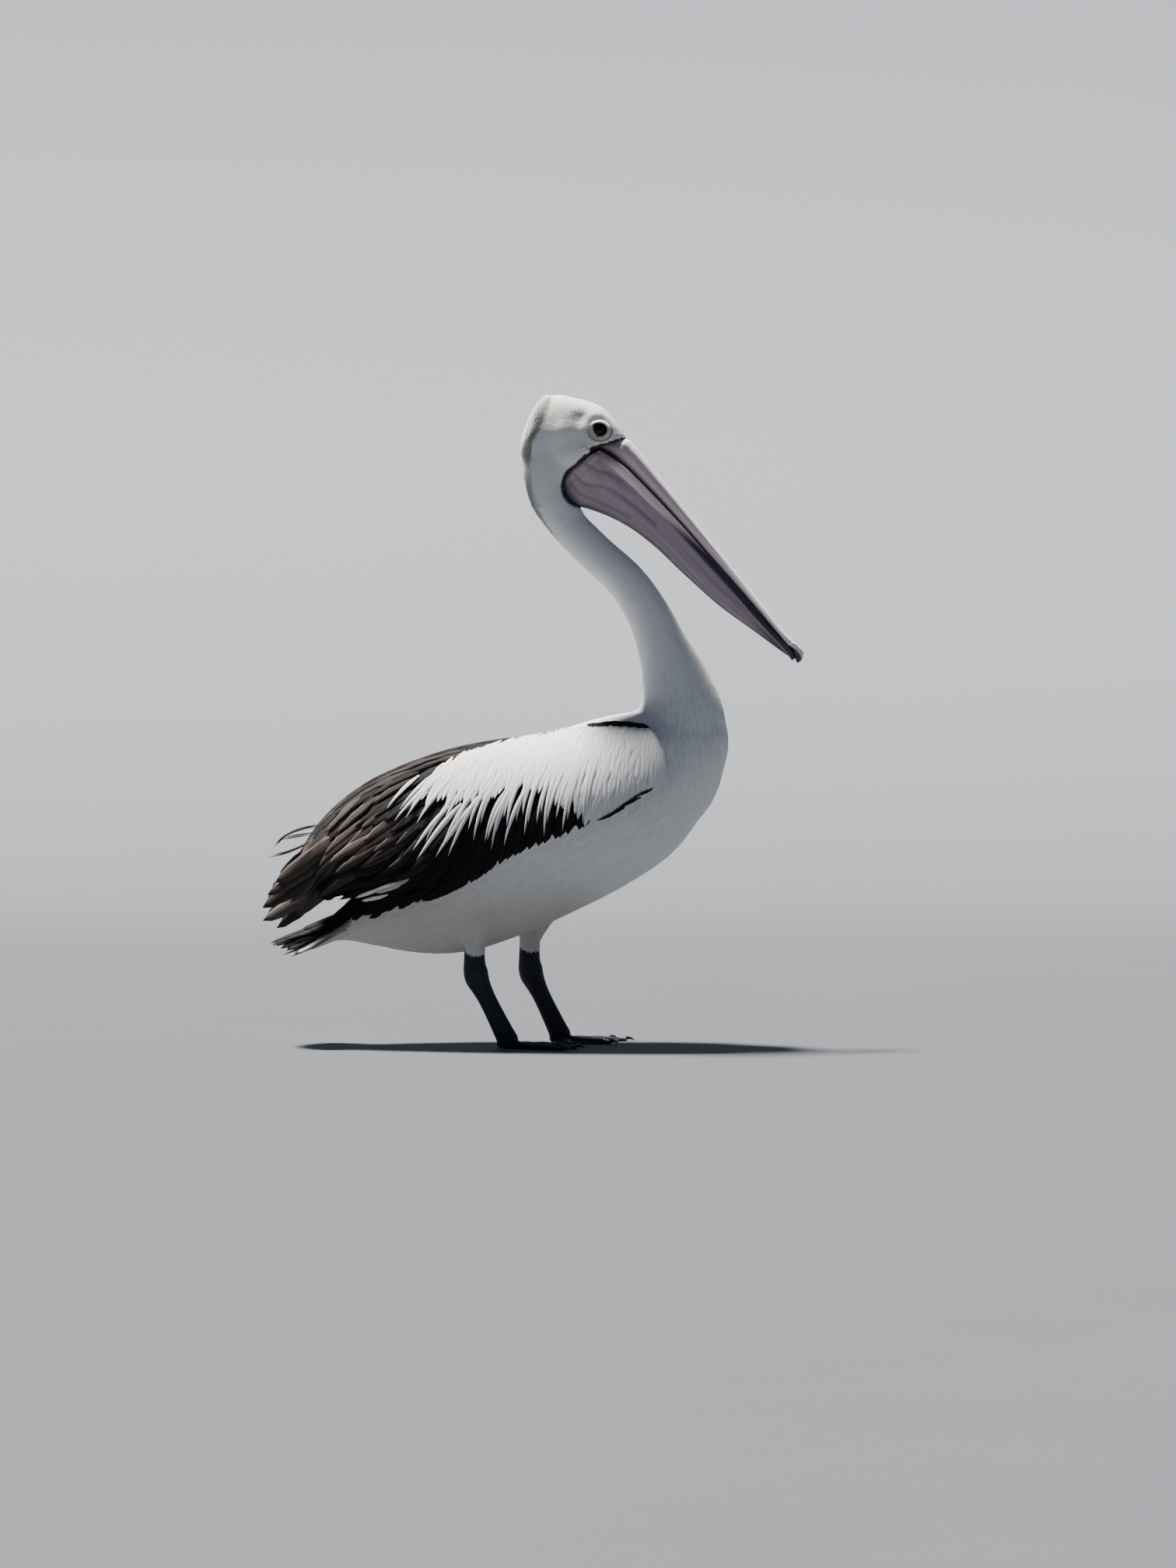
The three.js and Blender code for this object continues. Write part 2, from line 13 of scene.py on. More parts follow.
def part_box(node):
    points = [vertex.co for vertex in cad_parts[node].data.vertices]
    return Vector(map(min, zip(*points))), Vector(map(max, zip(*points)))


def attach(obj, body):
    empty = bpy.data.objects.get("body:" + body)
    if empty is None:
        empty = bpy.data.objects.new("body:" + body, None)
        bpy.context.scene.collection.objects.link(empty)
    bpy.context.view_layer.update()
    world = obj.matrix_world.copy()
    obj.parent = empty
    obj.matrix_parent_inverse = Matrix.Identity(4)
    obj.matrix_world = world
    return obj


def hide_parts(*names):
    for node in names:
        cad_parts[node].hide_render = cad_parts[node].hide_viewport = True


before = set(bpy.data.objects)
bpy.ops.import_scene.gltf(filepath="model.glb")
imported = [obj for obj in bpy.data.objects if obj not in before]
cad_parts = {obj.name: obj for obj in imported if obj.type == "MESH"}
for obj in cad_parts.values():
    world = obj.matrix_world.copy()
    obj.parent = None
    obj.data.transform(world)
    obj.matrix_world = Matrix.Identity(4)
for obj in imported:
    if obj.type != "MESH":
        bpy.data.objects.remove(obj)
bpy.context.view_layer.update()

# ---------------------------------------------------------------- sizes, in millimetres

MM = 0.001
SIDES = {"right": -1, "left": 1}
EYE_RADIUS = 13.5
SKIN_CELL, LEG_CELL = 0.0038, 0.0012  # the fineness of the flesh and of the legs, in metres
UNDER_COVERTS = 7.5  # how deep the wing's flesh lies under its feathers
GAPE = (79.2, 918.6)  # the corner of the mouth

eye_low, eye_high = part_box("eye_left")
EYE = (eye_low + eye_high) / 2
AHEAD = EYE.x / MM - 100.6  # how far forward the whole bird stands of its own measures

# Trunk, in its own frame: place, top of back, underside, half width.
TRUNK = [
    [-396, 22, 5, 12], [-372, 31, -1, 23], [-340, 38, -9, 35], [-300, 49, -38, 50],
    [-250, 68, -76, 66], [-180, 96, -112, 84], [-100, 119, -127, 98], [0, 134, -133, 107],
    [100, 135, -132, 110], [180, 121, -120, 104], [230, 106, -97, 92], [275, 90, -68, 76],
    [310, 68, -37, 56], [331, 40, -8, 32], [338, 25, 8, 10],
]
# Neck: x, z, lean back from upright, half depth, half width.
NECK = [
    [120, 370, -50, 104, 94], [184, 420, -33, 103, 86], [215, 468, -18, 87, 74],
    [229, 520, -2, 67, 58], [215, 578, 15, 51, 44], [195.5, 625, 26, 40.5, 36],
    [176, 668, 34, 36, 32.5], [143.5, 716, 42, 33, 31], [101, 755.5, 53, 32, 30],
    [75, 781, 45, 31.5, 30], [52, 806, 35, 32, 30.5], [29.5, 849, 12, 39.5, 33],
    [22.5, 893, -5, 46, 35], [25, 925, -14, 45.5, 34],
]
# Head, in its own frame: place, crown, throat, half width.
HEAD = [
    [-76, 10, -22, 8], [-71, 33, -45, 23], [-54, 51, -62, 32], [-22, 62, -68, 38],
    [3, 67, -66, 39.5], [22, 67, -58, 38.5], [46, 59, -44, 34], [65, 48, -26, 29],
    [78, 37, -8, 25], [86, 28, 6, 17], [90, 22, 13, 6],
]
# Upper bill, in the bill's frame: place, ridge, cutting edge, half width.
UPPER_BILL = [
    [-19, -31, -42, 12], [-9, -13, -41, 21], [3, -0.5, -37, 25], [15, 1.5, -34, 24.5],
    [30, 1.7, -31, 23.5], [60, 1.4, -27.5, 21], [100, 1, -23.7, 18.5], [150, 0.3, -20.4, 16.5],
    [220, -0.6, -18, 15.5], [300, -1.7, -15, 16.5], [350, -2.4, -13.9, 17.5],
    [390, -2.6, -12.7, 16], [404, -1, -12.2, 13.4],
]
NAIL = [
    [403.6, -1, -12.4, 13.2], [407, 0.6, -12, 12.6], [414, 1, -11.7, 11.4],
    [421, 1.2, -13.4, 9.6], [427, -0.2, -16.2, 7.4], [431, -3, -17.6, 5.6],
    [434.5, -8.5, -17, 3.4],
]
# Pouch, in the bill's frame: place, upper rim, keel, half width.
POUCH = [
    [-21, -66, -98, 17], [-15, -50, -116, 31], [-2, -41, -127, 35.5], [12, -38, -131, 35.5],
    [28, -36, -128, 33.5], [45, -34, -116, 30], [70, -29, -101, 27], [100, -26, -87.5, 23],
    [150, -23, -74, 19], [220, -18.5, -65, 17], [284, -14.5, -55.5, 16.5], [342, -12.5, -41, 16],
    [390, -11, -29, 12.5], [416, -12, -22, 6],
]
# Side rod of the lower bill, in the bill's frame: place, mid height, half depth, out from
# the middle, half thickness.
RAMUS = [
    [-13, -50, 5, 29, 3], [5, -45.5, 7, 33, 4], [30, -40, 8, 31, 4.4], [60, -36, 8, 26.5, 4.2],
    [100, -32, 7.8, 21, 4], [150, -27.8, 7, 17.5, 3.8], [220, -24.8, 6.3, 16, 3.6],
    [300, -21.2, 6, 16, 3.6], [350, -19.8, 5.8, 16, 3.6], [390, -17.8, 5, 12.5, 3.4],
    [412, -16.5, 5, 6, 3.4], [426, -18.2, 3.6, 0, 3.2],
]
# Where the head's feathers end, in the bill's frame: height, place.
FEATHER_LINE = [
    [-136, 24], [-131, 6], [-123, -7], [-107, -18], [-97, -18.5], [-77, -18], [-58, -21],
    [-50, -21], [-31, -12], [-8, -4.6], [4, 1],
]
# Folded wing, in the trunk's frame: place, ridge, lower edge, half width of the pair, angle
# from the ridge where this wing's upper edge lies.
WING = [
    [-390, 114, 76, 40, 20], [-352, 138, 64, 50, 10], [-325, 156, 58, 62, 7],
    [-290, 175, 48, 76, 5], [-245, 190, 22, 92, 4], [-190, 198, -3, 108, 3],
    [-120, 195, -9, 119, 3], [-50, 184, -3, 125, 3], [20, 164, -8, 128, 4],
    [80, 144, -14, 127, 7], [125, 138, -14, 125, 17], [165, 131, -9, 121, 30],
    [205, 122, -3, 114, 41], [226, 108, 14, 106, 47], [236, 96, 34, 95, 52],
    [241, 84, 44, 80, 56],
]
WING_THICK = [[-390, 9], [-290, 13], [-200, 26], [-100, 60], [100, 60], [241, 40]]
# Primary quills, in the trunk's frame: tip place, tip height, tip out from the middle, half
# breadth. Each runs from under the folded wing.
PRIMARY_ROOT = [-205, 88, 38]
PRIMARIES = [
    [-433, 77, 30, 14], [-419, 57, 34, 12], [-391, 60, 38, 12], [-424, 95, 36, 15],
    [-408, 109, 39, 15], [-388, 121, 41, 15],
]
TAIL = {"root": [-296, 26], "length": 146, "spread": 24, "droop": 30, "half": 18}
LEGS = {
    "right": {"ankle": [-87, -55, 108], "foot": [-39, -57], "turn": -8},
    "left": {"ankle": [-4, 55, 106], "foot": [41, 55], "turn": 16},
}
SHANK_TOP, FOOT_TOP, CLAW_LENGTH = 147, 24, 13
# Toes of a right foot: length, angle from the middle toe (towards the body), half width.
TOES = {
    "hallux": [46, 88, 4.4],
    "inner": [84, 37, 5.2],
    "middle": [108, 0, 5.8],
    "outer": [101, -22, 5.4],
}
# How the body's feathers lie: x, z, the way they point, their length and breadth.
LIE = [
    [140, 940, -0.7, 0.7, 5, 1.8], [118, 980, -0.85, 0.5, 6, 2.0], [60, 1003, -1, 0.05, 8, 2.3],
    [18, 996, -0.8, -0.6, 10, 2.4], [-14, 950, -0.35, -0.94, 11, 2.4],
    [90, 925, -1, -0.1, 6, 2.0], [45, 935, -0.9, -0.4, 8, 2.3], [50, 880, -0.7, -0.7, 8, 2.3],
    [-18, 890, 0, -1, 11, 2.5], [25, 850, 0.2, -1, 9, 2.5], [52, 806, 0.6, -0.8, 10, 2.6],
    [101, 756, 0.74, -0.67, 10, 2.7], [150, 708, 0.66, -0.75, 11, 2.9],
    [185, 650, 0.42, -0.9, 12, 3.2], [212, 585, 0.28, -0.96, 13, 3.8],
    [229, 520, 0.05, -1, 16, 5], [170, 480, -0.3, -0.95, 17, 5.5], [290, 470, 0.08, -1, 17, 6],
    [312, 405, -0.3, -0.95, 19, 7], [275, 330, -0.62, -0.78, 21, 8],
    [200, 380, -0.45, -0.9, 20, 7.5], [150, 255, -0.82, -0.57, 24, 9],
    [60, 330, -0.8, -0.6, 24, 9], [0, 200, -0.93, -0.36, 26, 10],
    [-100, 250, -0.86, -0.5, 28, 11], [-140, 160, -0.95, -0.3, 28, 10],
    [-250, 150, -0.95, -0.32, 28, 10], [-330, 140, -0.9, -0.44, 26, 9],
    [110, 510, -0.88, -0.48, 22, 8], [170, 540, -0.6, -0.8, 16, 6],
    [40, 470, -0.9, -0.45, 26, 10], [-89, 172, -0.12, -1, 12, 4.4], [-6, 170, -0.12, -1, 12, 4.4],
    [-89, 150, -0.05, -1, 9, 3.4], [-6, 150, -0.05, -1, 9, 3.4],
]


def placed(x, z, dip):
    """The frame of one part of the body, from millimetres to the bird's metres."""
    turn = Matrix.Rotation(math.radians(dip), 4, "Y") @ Matrix.Scale(MM, 4)
    return np.array(Matrix.Translation(((x + AHEAD) * MM, 0, z * MM)) @ turn)


BIRD = placed(0, 0, 0)
TRUNK_FRAME = placed(4, 322, -27)
HEAD_FRAME = placed(58, 935, 25)
BILL_FRAME = placed(144.6, 936.6, 50.5)


def out_of(part, points):
    """Points of a part's frame in the bird's metres."""
    return points @ part[:3, :3].T + part[:3, 3]


def into(part, points):
    """Points in the bird's metres in a part's frame."""
    return (points - part[:3, 3]) @ np.linalg.inv(part[:3, :3]).T


def turned(part, ways):
    """Directions of a part's frame in the bird's frame."""
    return unit(ways @ part[:3, :3].T)


def unit(ways):
    return ways / np.maximum(np.linalg.norm(ways, axis=-1, keepdims=True), 1e-12)


def heading(degrees):
    """The way to an angle from +X, on the level."""
    return np.array([math.cos(math.radians(degrees)), math.sin(math.radians(degrees)), 0])


def flattened(ways, facing):
    """Directions brought into the surface that faces as given."""
    return unit(ways - facing * (ways * facing).sum(1, keepdims=True))


def reader(rows):
    """Reads a table at any place along it by a smooth curve."""
    rows = np.array(rows, float)
    at, values = rows[:, 0], rows[:, 1:]
    slopes = np.gradient(values, at, axis=0)

    def read(place):
        place = np.clip(np.asarray(place, float), at[0], at[-1])
        i = np.clip(np.searchsorted(at, place, side="right") - 1, 0, len(at) - 2)
        gap = (at[i + 1] - at[i])[..., None]
        t = (place - at[i])[..., None] / gap
        ends = values[i] * (2 * t**3 - 3 * t**2 + 1) + values[i + 1] * (3 * t**2 - 2 * t**3)
        bends = slopes[i] * (t**3 - 2 * t**2 + t) + slopes[i + 1] * (t**3 - t**2)
        return np.moveaxis(ends + gap * bends, -1, 0)

    return read


def straight(table, place):
    """A table's columns at places along it, by straight lines."""
    at, *columns = np.array(table, float).T
    return [np.interp(place, at, column) for column in columns]


def eased(value, low, high):
    """0 below low, 1 above high, and a smooth step between."""
    t = np.clip((value - low) / (high - low), 0, 1)
    return t * t * (3 - 2 * t)


UP, LEFT = np.array([0, 0, 1]), np.array([0, 1, 0])
read_wing = reader(WING)
read_pouch = reader(POUCH)
read_bill = reader(UPPER_BILL)

# ---------------------------------------------------------------- camera and lights


def linked(name, data):
    """A new object in the scene."""
    piece = bpy.data.objects.new(name, data)
    bpy.context.scene.collection.objects.link(piece)
    return piece


camera = linked("camera", bpy.data.cameras.new("camera"))
camera.data.sensor_width = 36
camera.data.lens = 119.05
camera.location = (0.0862, -8, 0.612)
camera.rotation_euler = (math.radians(90 - 1.49), 0, 0)
camera.data.clip_end = 200
bpy.context.scene.camera = camera


def deselect():
    for piece in bpy.context.selected_objects:
        piece.select_set(False)


def only(piece):
    deselect()
    piece.select_set(True)
    bpy.context.view_layer.objects.active = piece


def lit(name, kind, place, towards, power, colour, **more):
    """A lamp that faces a point."""
    lamp = bpy.data.lights.new(name, kind)
    lamp.energy, lamp.color = power, colour
    for setting, value in more.items():
        setattr(lamp, setting, value)
    piece = linked(name, lamp)
    piece.location = place
    aim = Vector(towards) - Vector(place)
    piece.rotation_euler = aim.to_track_quat("-Z", "Y").to_euler()


SUN_SPREAD = math.radians(9)
lit("key_lamp", "SUN", (0, 0, 0), (0.25, -0.16, -0.95), 17.0, (1.0, 0.96, 0.90), angle=SUN_SPREAD)
lit("wall_lamp", "AREA", (0, 4.5, 6.5), (0, 12, 1.5), 150, (0.78, 0.88, 1.0), shape="DISK", size=5.0)
lit("fill_lamp", "AREA", (-1.2, -5.0, 2.4), (0, 0, 0.5), 3.6, (0.54, 0.72, 1.0), shape="DISK", size=3.0)

world = bpy.data.worlds.new("studio")
bpy.context.scene.world = world
world.use_nodes = True
sky = world.node_tree.nodes["Background"].inputs
sky["Color"].default_value = (0.36, 0.52, 0.84, 1)
sky["Strength"].default_value = 0.13

# ---------------------------------------------------------------- materials


class Link:
    """An output in a material. Sums and products of these add the nodes that work them out."""

    def __init__(self, finish, socket):
        self.finish, self.socket = finish, socket

    def maths(self, operation, *values):
        return self.finish.add("Math", {"operation": operation}, dict(enumerate(values)))

    def __abs__(self):
        return self.maths("ABSOLUTE", self)

    def wave(self):
        return self.maths("SINE", self)

    def step(self, low, high):
        """0 at low, 1 at high, and a smooth step between."""
        sockets = {"Value": self, "From Min": low, "From Max": high}
        return self.finish.add("MapRange", {"interpolation_type": "SMOOTHSTEP"}, sockets)


def operator(operation, swapped):
    def work_out(first, second):
        return first.maths(operation, *((second, first) if swapped else (first, second)))

    return work_out


for sign, operation in {"add": "ADD", "sub": "SUBTRACT", "mul": "MULTIPLY", "pow": "POWER"}.items():
    setattr(Link, f"__{sign}__", operator(operation, False))
    setattr(Link, f"__r{sign}__", operator(operation, True))


class Finish:
    """One material: its nodes, and the shader that they feed."""

    def __init__(self, name, **fixed):
        self.material = bpy.data.materials.new(name)
        self.material.use_nodes = True
        self.tree = self.material.node_tree
        self.shader = self.tree.nodes["Principled BSDF"]
        self.set(**fixed)

    def feed(self, socket, value):
        if isinstance(value, Link):
            self.tree.links.new(value.socket, socket)
        elif isinstance(value, tuple) and len(value) == 3 and socket.type == "RGBA":
            socket.default_value = (*value, 1)
        else:
            socket.default_value = value

    def add(self, kind, settings=(), sockets=(), out=0):
        node = self.tree.nodes.new("ShaderNode" + kind)
        for name, value in dict(settings).items():
            setattr(node, name, value)
        for name, value in dict(sockets).items():
            self.feed(node.inputs[name], value)
        return Link(self, node.outputs[out])

    def set(self, sheen=None, **values):
        for socket, value in values.items():
            self.feed(self.shader.inputs[socket.replace("_", " ").title()], value)
        if sheen is not None:
            self.shader.inputs["Specular IOR Level"].default_value = sheen
        return self.material

    def done(self, colour, height, depth, strength, **values):
        """The material, with its colour and the fine relief of its surface."""
        return self.set(base_color=colour, normal=self.bump(height, depth, strength), **values)

    def place(self):
        return self.add("TexCoord", out="Object")

    def parts(self, vector):
        return [self.add("SeparateXYZ", sockets={0: vector}, out=i) for i in range(3)]

    def framed(self, part, vector=None):
        """The place in a part's frame, in metres along, across and up."""
        matrix = Matrix([list(row) for row in part])
        settings = {"vector_type": "TEXTURE"}
        sockets = {
            "Vector": vector or self.place(),
            "Location": matrix.to_translation(),
            "Rotation": matrix.to_euler(),
        }
        return self.add("Mapping", settings, sockets)

    def stretched(self, vector, scale):
        return self.add("Mapping", (), {"Vector": vector, "Scale": scale})

    def attribute(self, name, out="Color"):
        return self.add("Attribute", {"attribute_name": name}, out=out)

    def noise(self, vector, scale, detail=3.0, rough=0.55):
        sockets = {"Vector": vector, "Scale": scale, "Detail": detail, "Roughness": rough}
        return self.add("TexNoise", (), sockets)

    def cells(self, vector, scale, feature="F1"):
        sockets = {"Vector": vector, "Scale": scale}
        return self.add("TexVoronoi", {"feature": feature}, sockets, "Distance")

    def blend(self, first, second, share):
        return self.add("Mix", {"data_type": "RGBA"}, {0: share, 6: first, 7: second}, 2)

    def layers(self, colour, *over):
        """Colours laid over one another, each by its share."""
        for above, share in over:
            colour = self.blend(colour, above, share)
        return colour

    def bump(self, height, distance, strength):
        return self.add("Bump", (), {"Height": height, "Distance": distance, "Strength": strength})


PLUMAGE_SHEEN = 0.12


def plumage_colour(finish, marks, tint, detail):
    """White, cream, grey and black plumage, laid out by the marks of skin and coat."""
    black, grey, cream = finish.parts(marks)
    white = finish.blend((0.74, 0.74, 0.73), (0.87, 0.87, 0.86), tint)
    light = finish.layers(
        white,
        ((0.235, 0.20, 0.175), grey * (0.8 + 0.4 * detail)),
        ((0.66, 0.56, 0.38), cream * detail.step(0.35, 0.65)),
    )
    dark = finish.blend((0.0035, 0.0032, 0.0040), (0.009, 0.008, 0.009), tint)
    worn = finish.blend((0.016, 0.012, 0.0115), (0.082, 0.061, 0.054), tint)
    bleached = ((0.24, 0.185, 0.165), cream * (0.4 + 0.6 * detail))
    dark = finish.layers(dark, (worn, grey * (0.3 + 0.9 * detail)), bleached)
    return finish.blend(light, dark, black)


def feather_finish(name, barbs, depth, shaft):
    """The vanes of feathers: barbs slant from a shaft, and worn edges are paler."""
    finish = Finish(name, sheen=PLUMAGE_SHEEN)
    across, along, _ = finish.parts(finish.add("UVMap", {"uv_map": "vane"}))
    marks = finish.attribute("marks")
    chance = finish.attribute("marks", "Alpha")
    black, grey, _ = finish.parts(marks)
    out = abs(across - 0.5) * 2
    streaks = finish.noise(finish.place(), 240)
    tint = (0.3 + chance * 0.7) * (0.8 + 0.2 * along)
    colour = finish.layers(
        plumage_colour(finish, marks, tint, streaks),
        ((0.16, 0.13, 0.115), black * grey * out.step(0.62, 0.92) * 0.6),
        ((0.13, 0.105, 0.09), out.step(0.10, 0.04) * shaft),
    )
    slant = (along * barbs + out * (barbs * 0.22)) * 6.2832
    height = slant.wave() * 0.5 + out.step(0.09, 0.03) * 2.0
    return finish.done(colour, height, depth, 0.5, roughness=0.52 + 0.25 * streaks)


down = feather_finish("down", 9, 0.00008, 0.0)
coverts = feather_finish("coverts", 26, 0.0002, 0.03)
quills = feather_finish("quills", 84, 0.00022, 0.10)


def skin_finish():
    """The skin under the feathers, bare and pale between the eye and the bill, and painted dark as
    shade where it tucks in under the bill.
    """
    finish = Finish("skin", roughness=0.75, sheen=PLUMAGE_SHEEN)
    place = finish.place()
    detail = finish.noise(place, 160)
    lore = finish.blend((0.52, 0.50, 0.38), (0.74, 0.71, 0.56), finish.noise(place, 420, 4))
    colour = finish.layers(
        plumage_colour(finish, finish.attribute("marks"), detail, detail),
        (lore, finish.attribute("bare", "Fac")),
        # Dark where the skin tucks in under the bill: painted shade.
        ((0.10, 0.065, 0.09), finish.attribute("gum", "Fac")),
    )
    return finish.done(colour, finish.cells(place, 620), 0.0006, 0.4)


skin_material = skin_finish()

# ---------------------------------------------------------------- shaping


def points_of(mesh, kind="co"):
    points = np.empty(len(mesh.vertices) * 3)
    mesh.vertices.foreach_get(kind, points)
    return points.reshape(-1, 3)


def move(piece, points):
    piece.data.vertices.foreach_set("co", np.asarray(points, np.float32).ravel())
    piece.data.update()


def keep(piece, name, values, kind="FLOAT"):
    """Keeps a value of every point for the materials."""
    layer = piece.data.attributes.new(name, kind, "POINT")
    field = {"FLOAT": "value", "FLOAT_VECTOR": "vector", "FLOAT_COLOR": "color"}[kind]
    layer.data.foreach_set(field, np.asarray(values, np.float32).ravel())


def modify(piece, kind, **settings):
    modifier = piece.modifiers.new(kind.title(), kind)
    for name, value in settings.items():
        setattr(modifier, name, value)
    only(piece)
    bpy.ops.object.modifier_apply(modifier=modifier.name)


def named(piece, name):
    piece.name = piece.data.name = name
    return piece


def joined(name, pieces):
    only(pieces[0])
    for piece in pieces:
        piece.select_set(True)
    bpy.ops.object.join()
    return named(pieces[0], name)


def outward(piece):
    only(piece)
    bpy.ops.object.mode_set(mode="EDIT")
    bpy.ops.mesh.select_all(action="SELECT")
    bpy.ops.mesh.normals_make_consistent(inside=False)
    bpy.ops.object.mode_set(mode="OBJECT")


def dressed(piece, material, nodes=()):
    """A finished piece: its material, and the solids that it stands for."""
    piece.data.materials.clear()
    piece.data.materials.append(material)
    if not piece.data.has_custom_normals:
        piece.data.shade_smooth()
    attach(piece, "root")
    if nodes:
        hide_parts(*nodes)
    return piece


def globe(name, columns, rows):
    """A new ball: its points' angle round the upright, their share of its height, and
    whether they lie off its poles."""
    deselect()
    bpy.ops.mesh.primitive_uv_sphere_add(segments=columns, ring_count=rows, radius=1)
    piece = named(bpy.context.object, name)
    ball = points_of(piece.data)
    share = np.arccos(np.clip(-ball[:, 2], -1, 1)) / np.pi
    ring = np.clip((share - 1 / rows) / (1 - 2 / rows), 0, 1)
    off_pole = (share > 0.4 / rows) & (share < 1 - 0.4 / rows)
    return piece, np.arctan2(ball[:, 1], ball[:, 0]), ring, off_pole


def drawn(name, columns, rows, part, section, full=2.0, relief=None):
    """A ball drawn out along a body. section gives, for shares of the length, each ring's
    middle, up, across, reach above, reach below and half width; relief raises the surface."""
    piece, turn, ring, off_pole = globe(name, columns, rows)
    along = 0.45 * ring + 0.55 * (ring - np.sin(2 * np.pi * ring) / (2 * np.pi))
    middle, up, across, above, below, wide = section(along)
    level, side = np.cos(turn), np.sin(turn)
    rise = np.sign(level) * np.abs(level) ** (2 / full) * np.where(level > 0, above, below)
    out = np.sign(side) * np.abs(side) ** (2 / full) * wide
    if relief:
        raised = relief(along, turn)
        rise, out = rise + raised * level, out + raised * side
    points = middle + up * (rise * off_pole)[:, None] + across * (out * off_pole)[:, None]
    move(piece, out_of(part, points))
    form = np.stack([along, level * off_pole, side, np.ones_like(side)], 1)
    keep(piece, "form", form, "FLOAT_COLOR")
    outward(piece)
    return piece


def lofted(rows, form):
    """Sections along the X axis of a frame. form makes of a table's columns how far out and
    how high each ring's middle lies, its reach above and below, and its half width."""
    read = reader(rows)

    def section(along):
        place = rows[0][0] + (rows[-1][0] - rows[0][0]) * along
        out, height, above, below, wide = form(*read(place))
        return np.stack([place, out + 0 * place, height], 1), UP, LEFT, above, below, wide

    return section


def hull(rows, grow=0.0):
    """Sections between a top and an underside."""

    def form(top, bottom, wide):
        half = (top - bottom) / 2 + grow
        return 0, (top + bottom) / 2, half, half, wide + grow

    return lofted(rows, form)


def limb(rows, grow=0.0, flip=1):
    """Sections of a limb: middle, lean of the section's up from +X, half depth and width."""
    read = reader([[i, *row] for i, row in enumerate(rows)])

    def section(along):
        x, y, z, lean, deep, wide = read(along * (len(rows) - 1))
        lean = np.radians(lean)
        up = flip * np.stack([np.cos(lean), np.zeros_like(lean), np.sin(lean)], 1)
        return np.stack([x, y, z], 1), up, LEFT, deep + grow, deep + grow, wide + grow

    return section


def wing_point(side, u, angle, inset=0.0):
    """A point of the folded wing in the trunk's frame, by place and angle from the ridge."""
    ridge, low, wide, _ = read_wing(u)
    t = np.radians(angle)
    out = np.maximum(0.3, (wide - inset) * np.sin(t))
    return np.stack([u, side * out, low + (ridge - low - inset) * np.cos(t)], -1)


def wing_bed(side, depth):
    """The fleshy part of a folded wing, closed, under its feathers."""
    piece, turn, ring, off_pole = globe("wing_form", 48, 60)
    k = (turn / (2 * np.pi)) % 1
    u = -335 + (240 + 335) * ring
    start = read_wing(u)[3]
    thick = straight(WING_THICK, u)[0]
    swing = 1 - np.abs(2 * k - 1)
    angle = np.where(off_pole, start + 1 + (88 - start) * swing, 70)
    inset = np.where(k < 0.5, depth, thick + depth)
    move(piece, out_of(TRUNK_FRAME, wing_point(side, u, angle, inset)))
    outward(piece)
    return piece


def thigh_rows(ankle):
    x, y, _ = ankle
    out = math.copysign(1, y)
    return [
        [x + 20, y - 12 * out, 262, 0, 66, 34],
        [x + 12, y - 5 * out, 222, 0, 50, 34],
        [x + 4, y - out, 190, 0, 33, 27],
        [x, y, 170, 0, 23, 20],
        [x - 2, y, 157, 0, 18.5, 15.5],
        [x - 2.5, y, SHANK_TOP - 2, 0, 16.5, 13],
    ]


# ---------------------------------------------------------------- skin

neck_rows = [[x, 0, z, lean, deep, wide] for x, z, lean, deep, wide in NECK]
forms = [
    drawn("trunk_form", 56, 64, TRUNK_FRAME, hull(TRUNK, -4.5), 2.1),
    drawn("neck_form", 40, 72, BIRD, limb(neck_rows, -2.6, -1)),
    drawn("head_form", 48, 48, HEAD_FRAME, hull(HEAD, -1.8), 2.1),
]
forms += [
    drawn("thigh_form", 28, 24, BIRD, limb(thigh_rows(leg["ankle"]), -2.5)) for leg in LEGS.values()
]
forms += [wing_bed(side, UNDER_COVERTS) for side in SIDES.values()]
skin = joined("skin", forms)
modify(skin, "REMESH", mode="VOXEL", voxel_size=SKIN_CELL)
modify(skin, "SMOOTH", factor=0.5, iterations=5)


def bill_place(points):
    """Places along, out from the middle and up in the bill's frame."""
    there = into(BILL_FRAME, points)
    return there[:, 0], np.abs(there[:, 1]), there[:, 2]


def behind_feather_line(points):
    """How far behind the edge of the head's feathers points lie, negative on the bill."""
    along, _, up = bill_place(points)
    return straight(FEATHER_LINE, up)[0] - along


def bill_half(along, up):
    """Half width of the bill, or of the pouch below it, by place and height."""
    rim, keel, wide = read_pouch(along)
    ridge, edge, broad = read_bill(along)
    middle = rim - 0.13 * (rim - keel)
    share = np.where(up > middle, (up - middle) / (rim - middle), (middle - up) / (middle - keel))
    pouch_half = wide * (1 - np.clip(share, 0, 1) ** 1.75) ** (1 / 1.75)
    high = np.clip(np.abs(up - (ridge + edge) / 2) / ((ridge - edge) / 2), 0, 1)
    return np.where(up > edge, broad * (1 - high**2.3) ** (1 / 2.3), np.maximum(pouch_half, 6))


def tucked_under_bill(points):
    """Draws the skin in where the bill and the pouch come out of the head."""
    along, out, up = bill_place(points)
    limit = np.maximum(bill_half(along, up) - 3.0, 1)
    inside = (behind_feather_line(points) < 1.5) & (up > read_pouch(along)[1] - 1) & (along < 110)
    moved = points.copy()
    moved[:, 1] = np.sign(points[:, 1]) * np.where(inside, np.minimum(out, limit), out) * MM
    return moved


skin_points = tucked_under_bill(points_of(skin.data))

# The skin dips round each eye, under a low brow.
from_eye = np.linalg.norm(skin_points[:, [0, 2]] - np.array([EYE.x, EYE.z]), axis=1) / MM
brow = skin_points[:, 2] > EYE.z
dent = 2.2 * np.exp(-((from_eye / 17) ** 4))
dent -= np.where(brow, 0.9, 0.2) * np.exp(-(((from_eye - 24) / 5) ** 2))
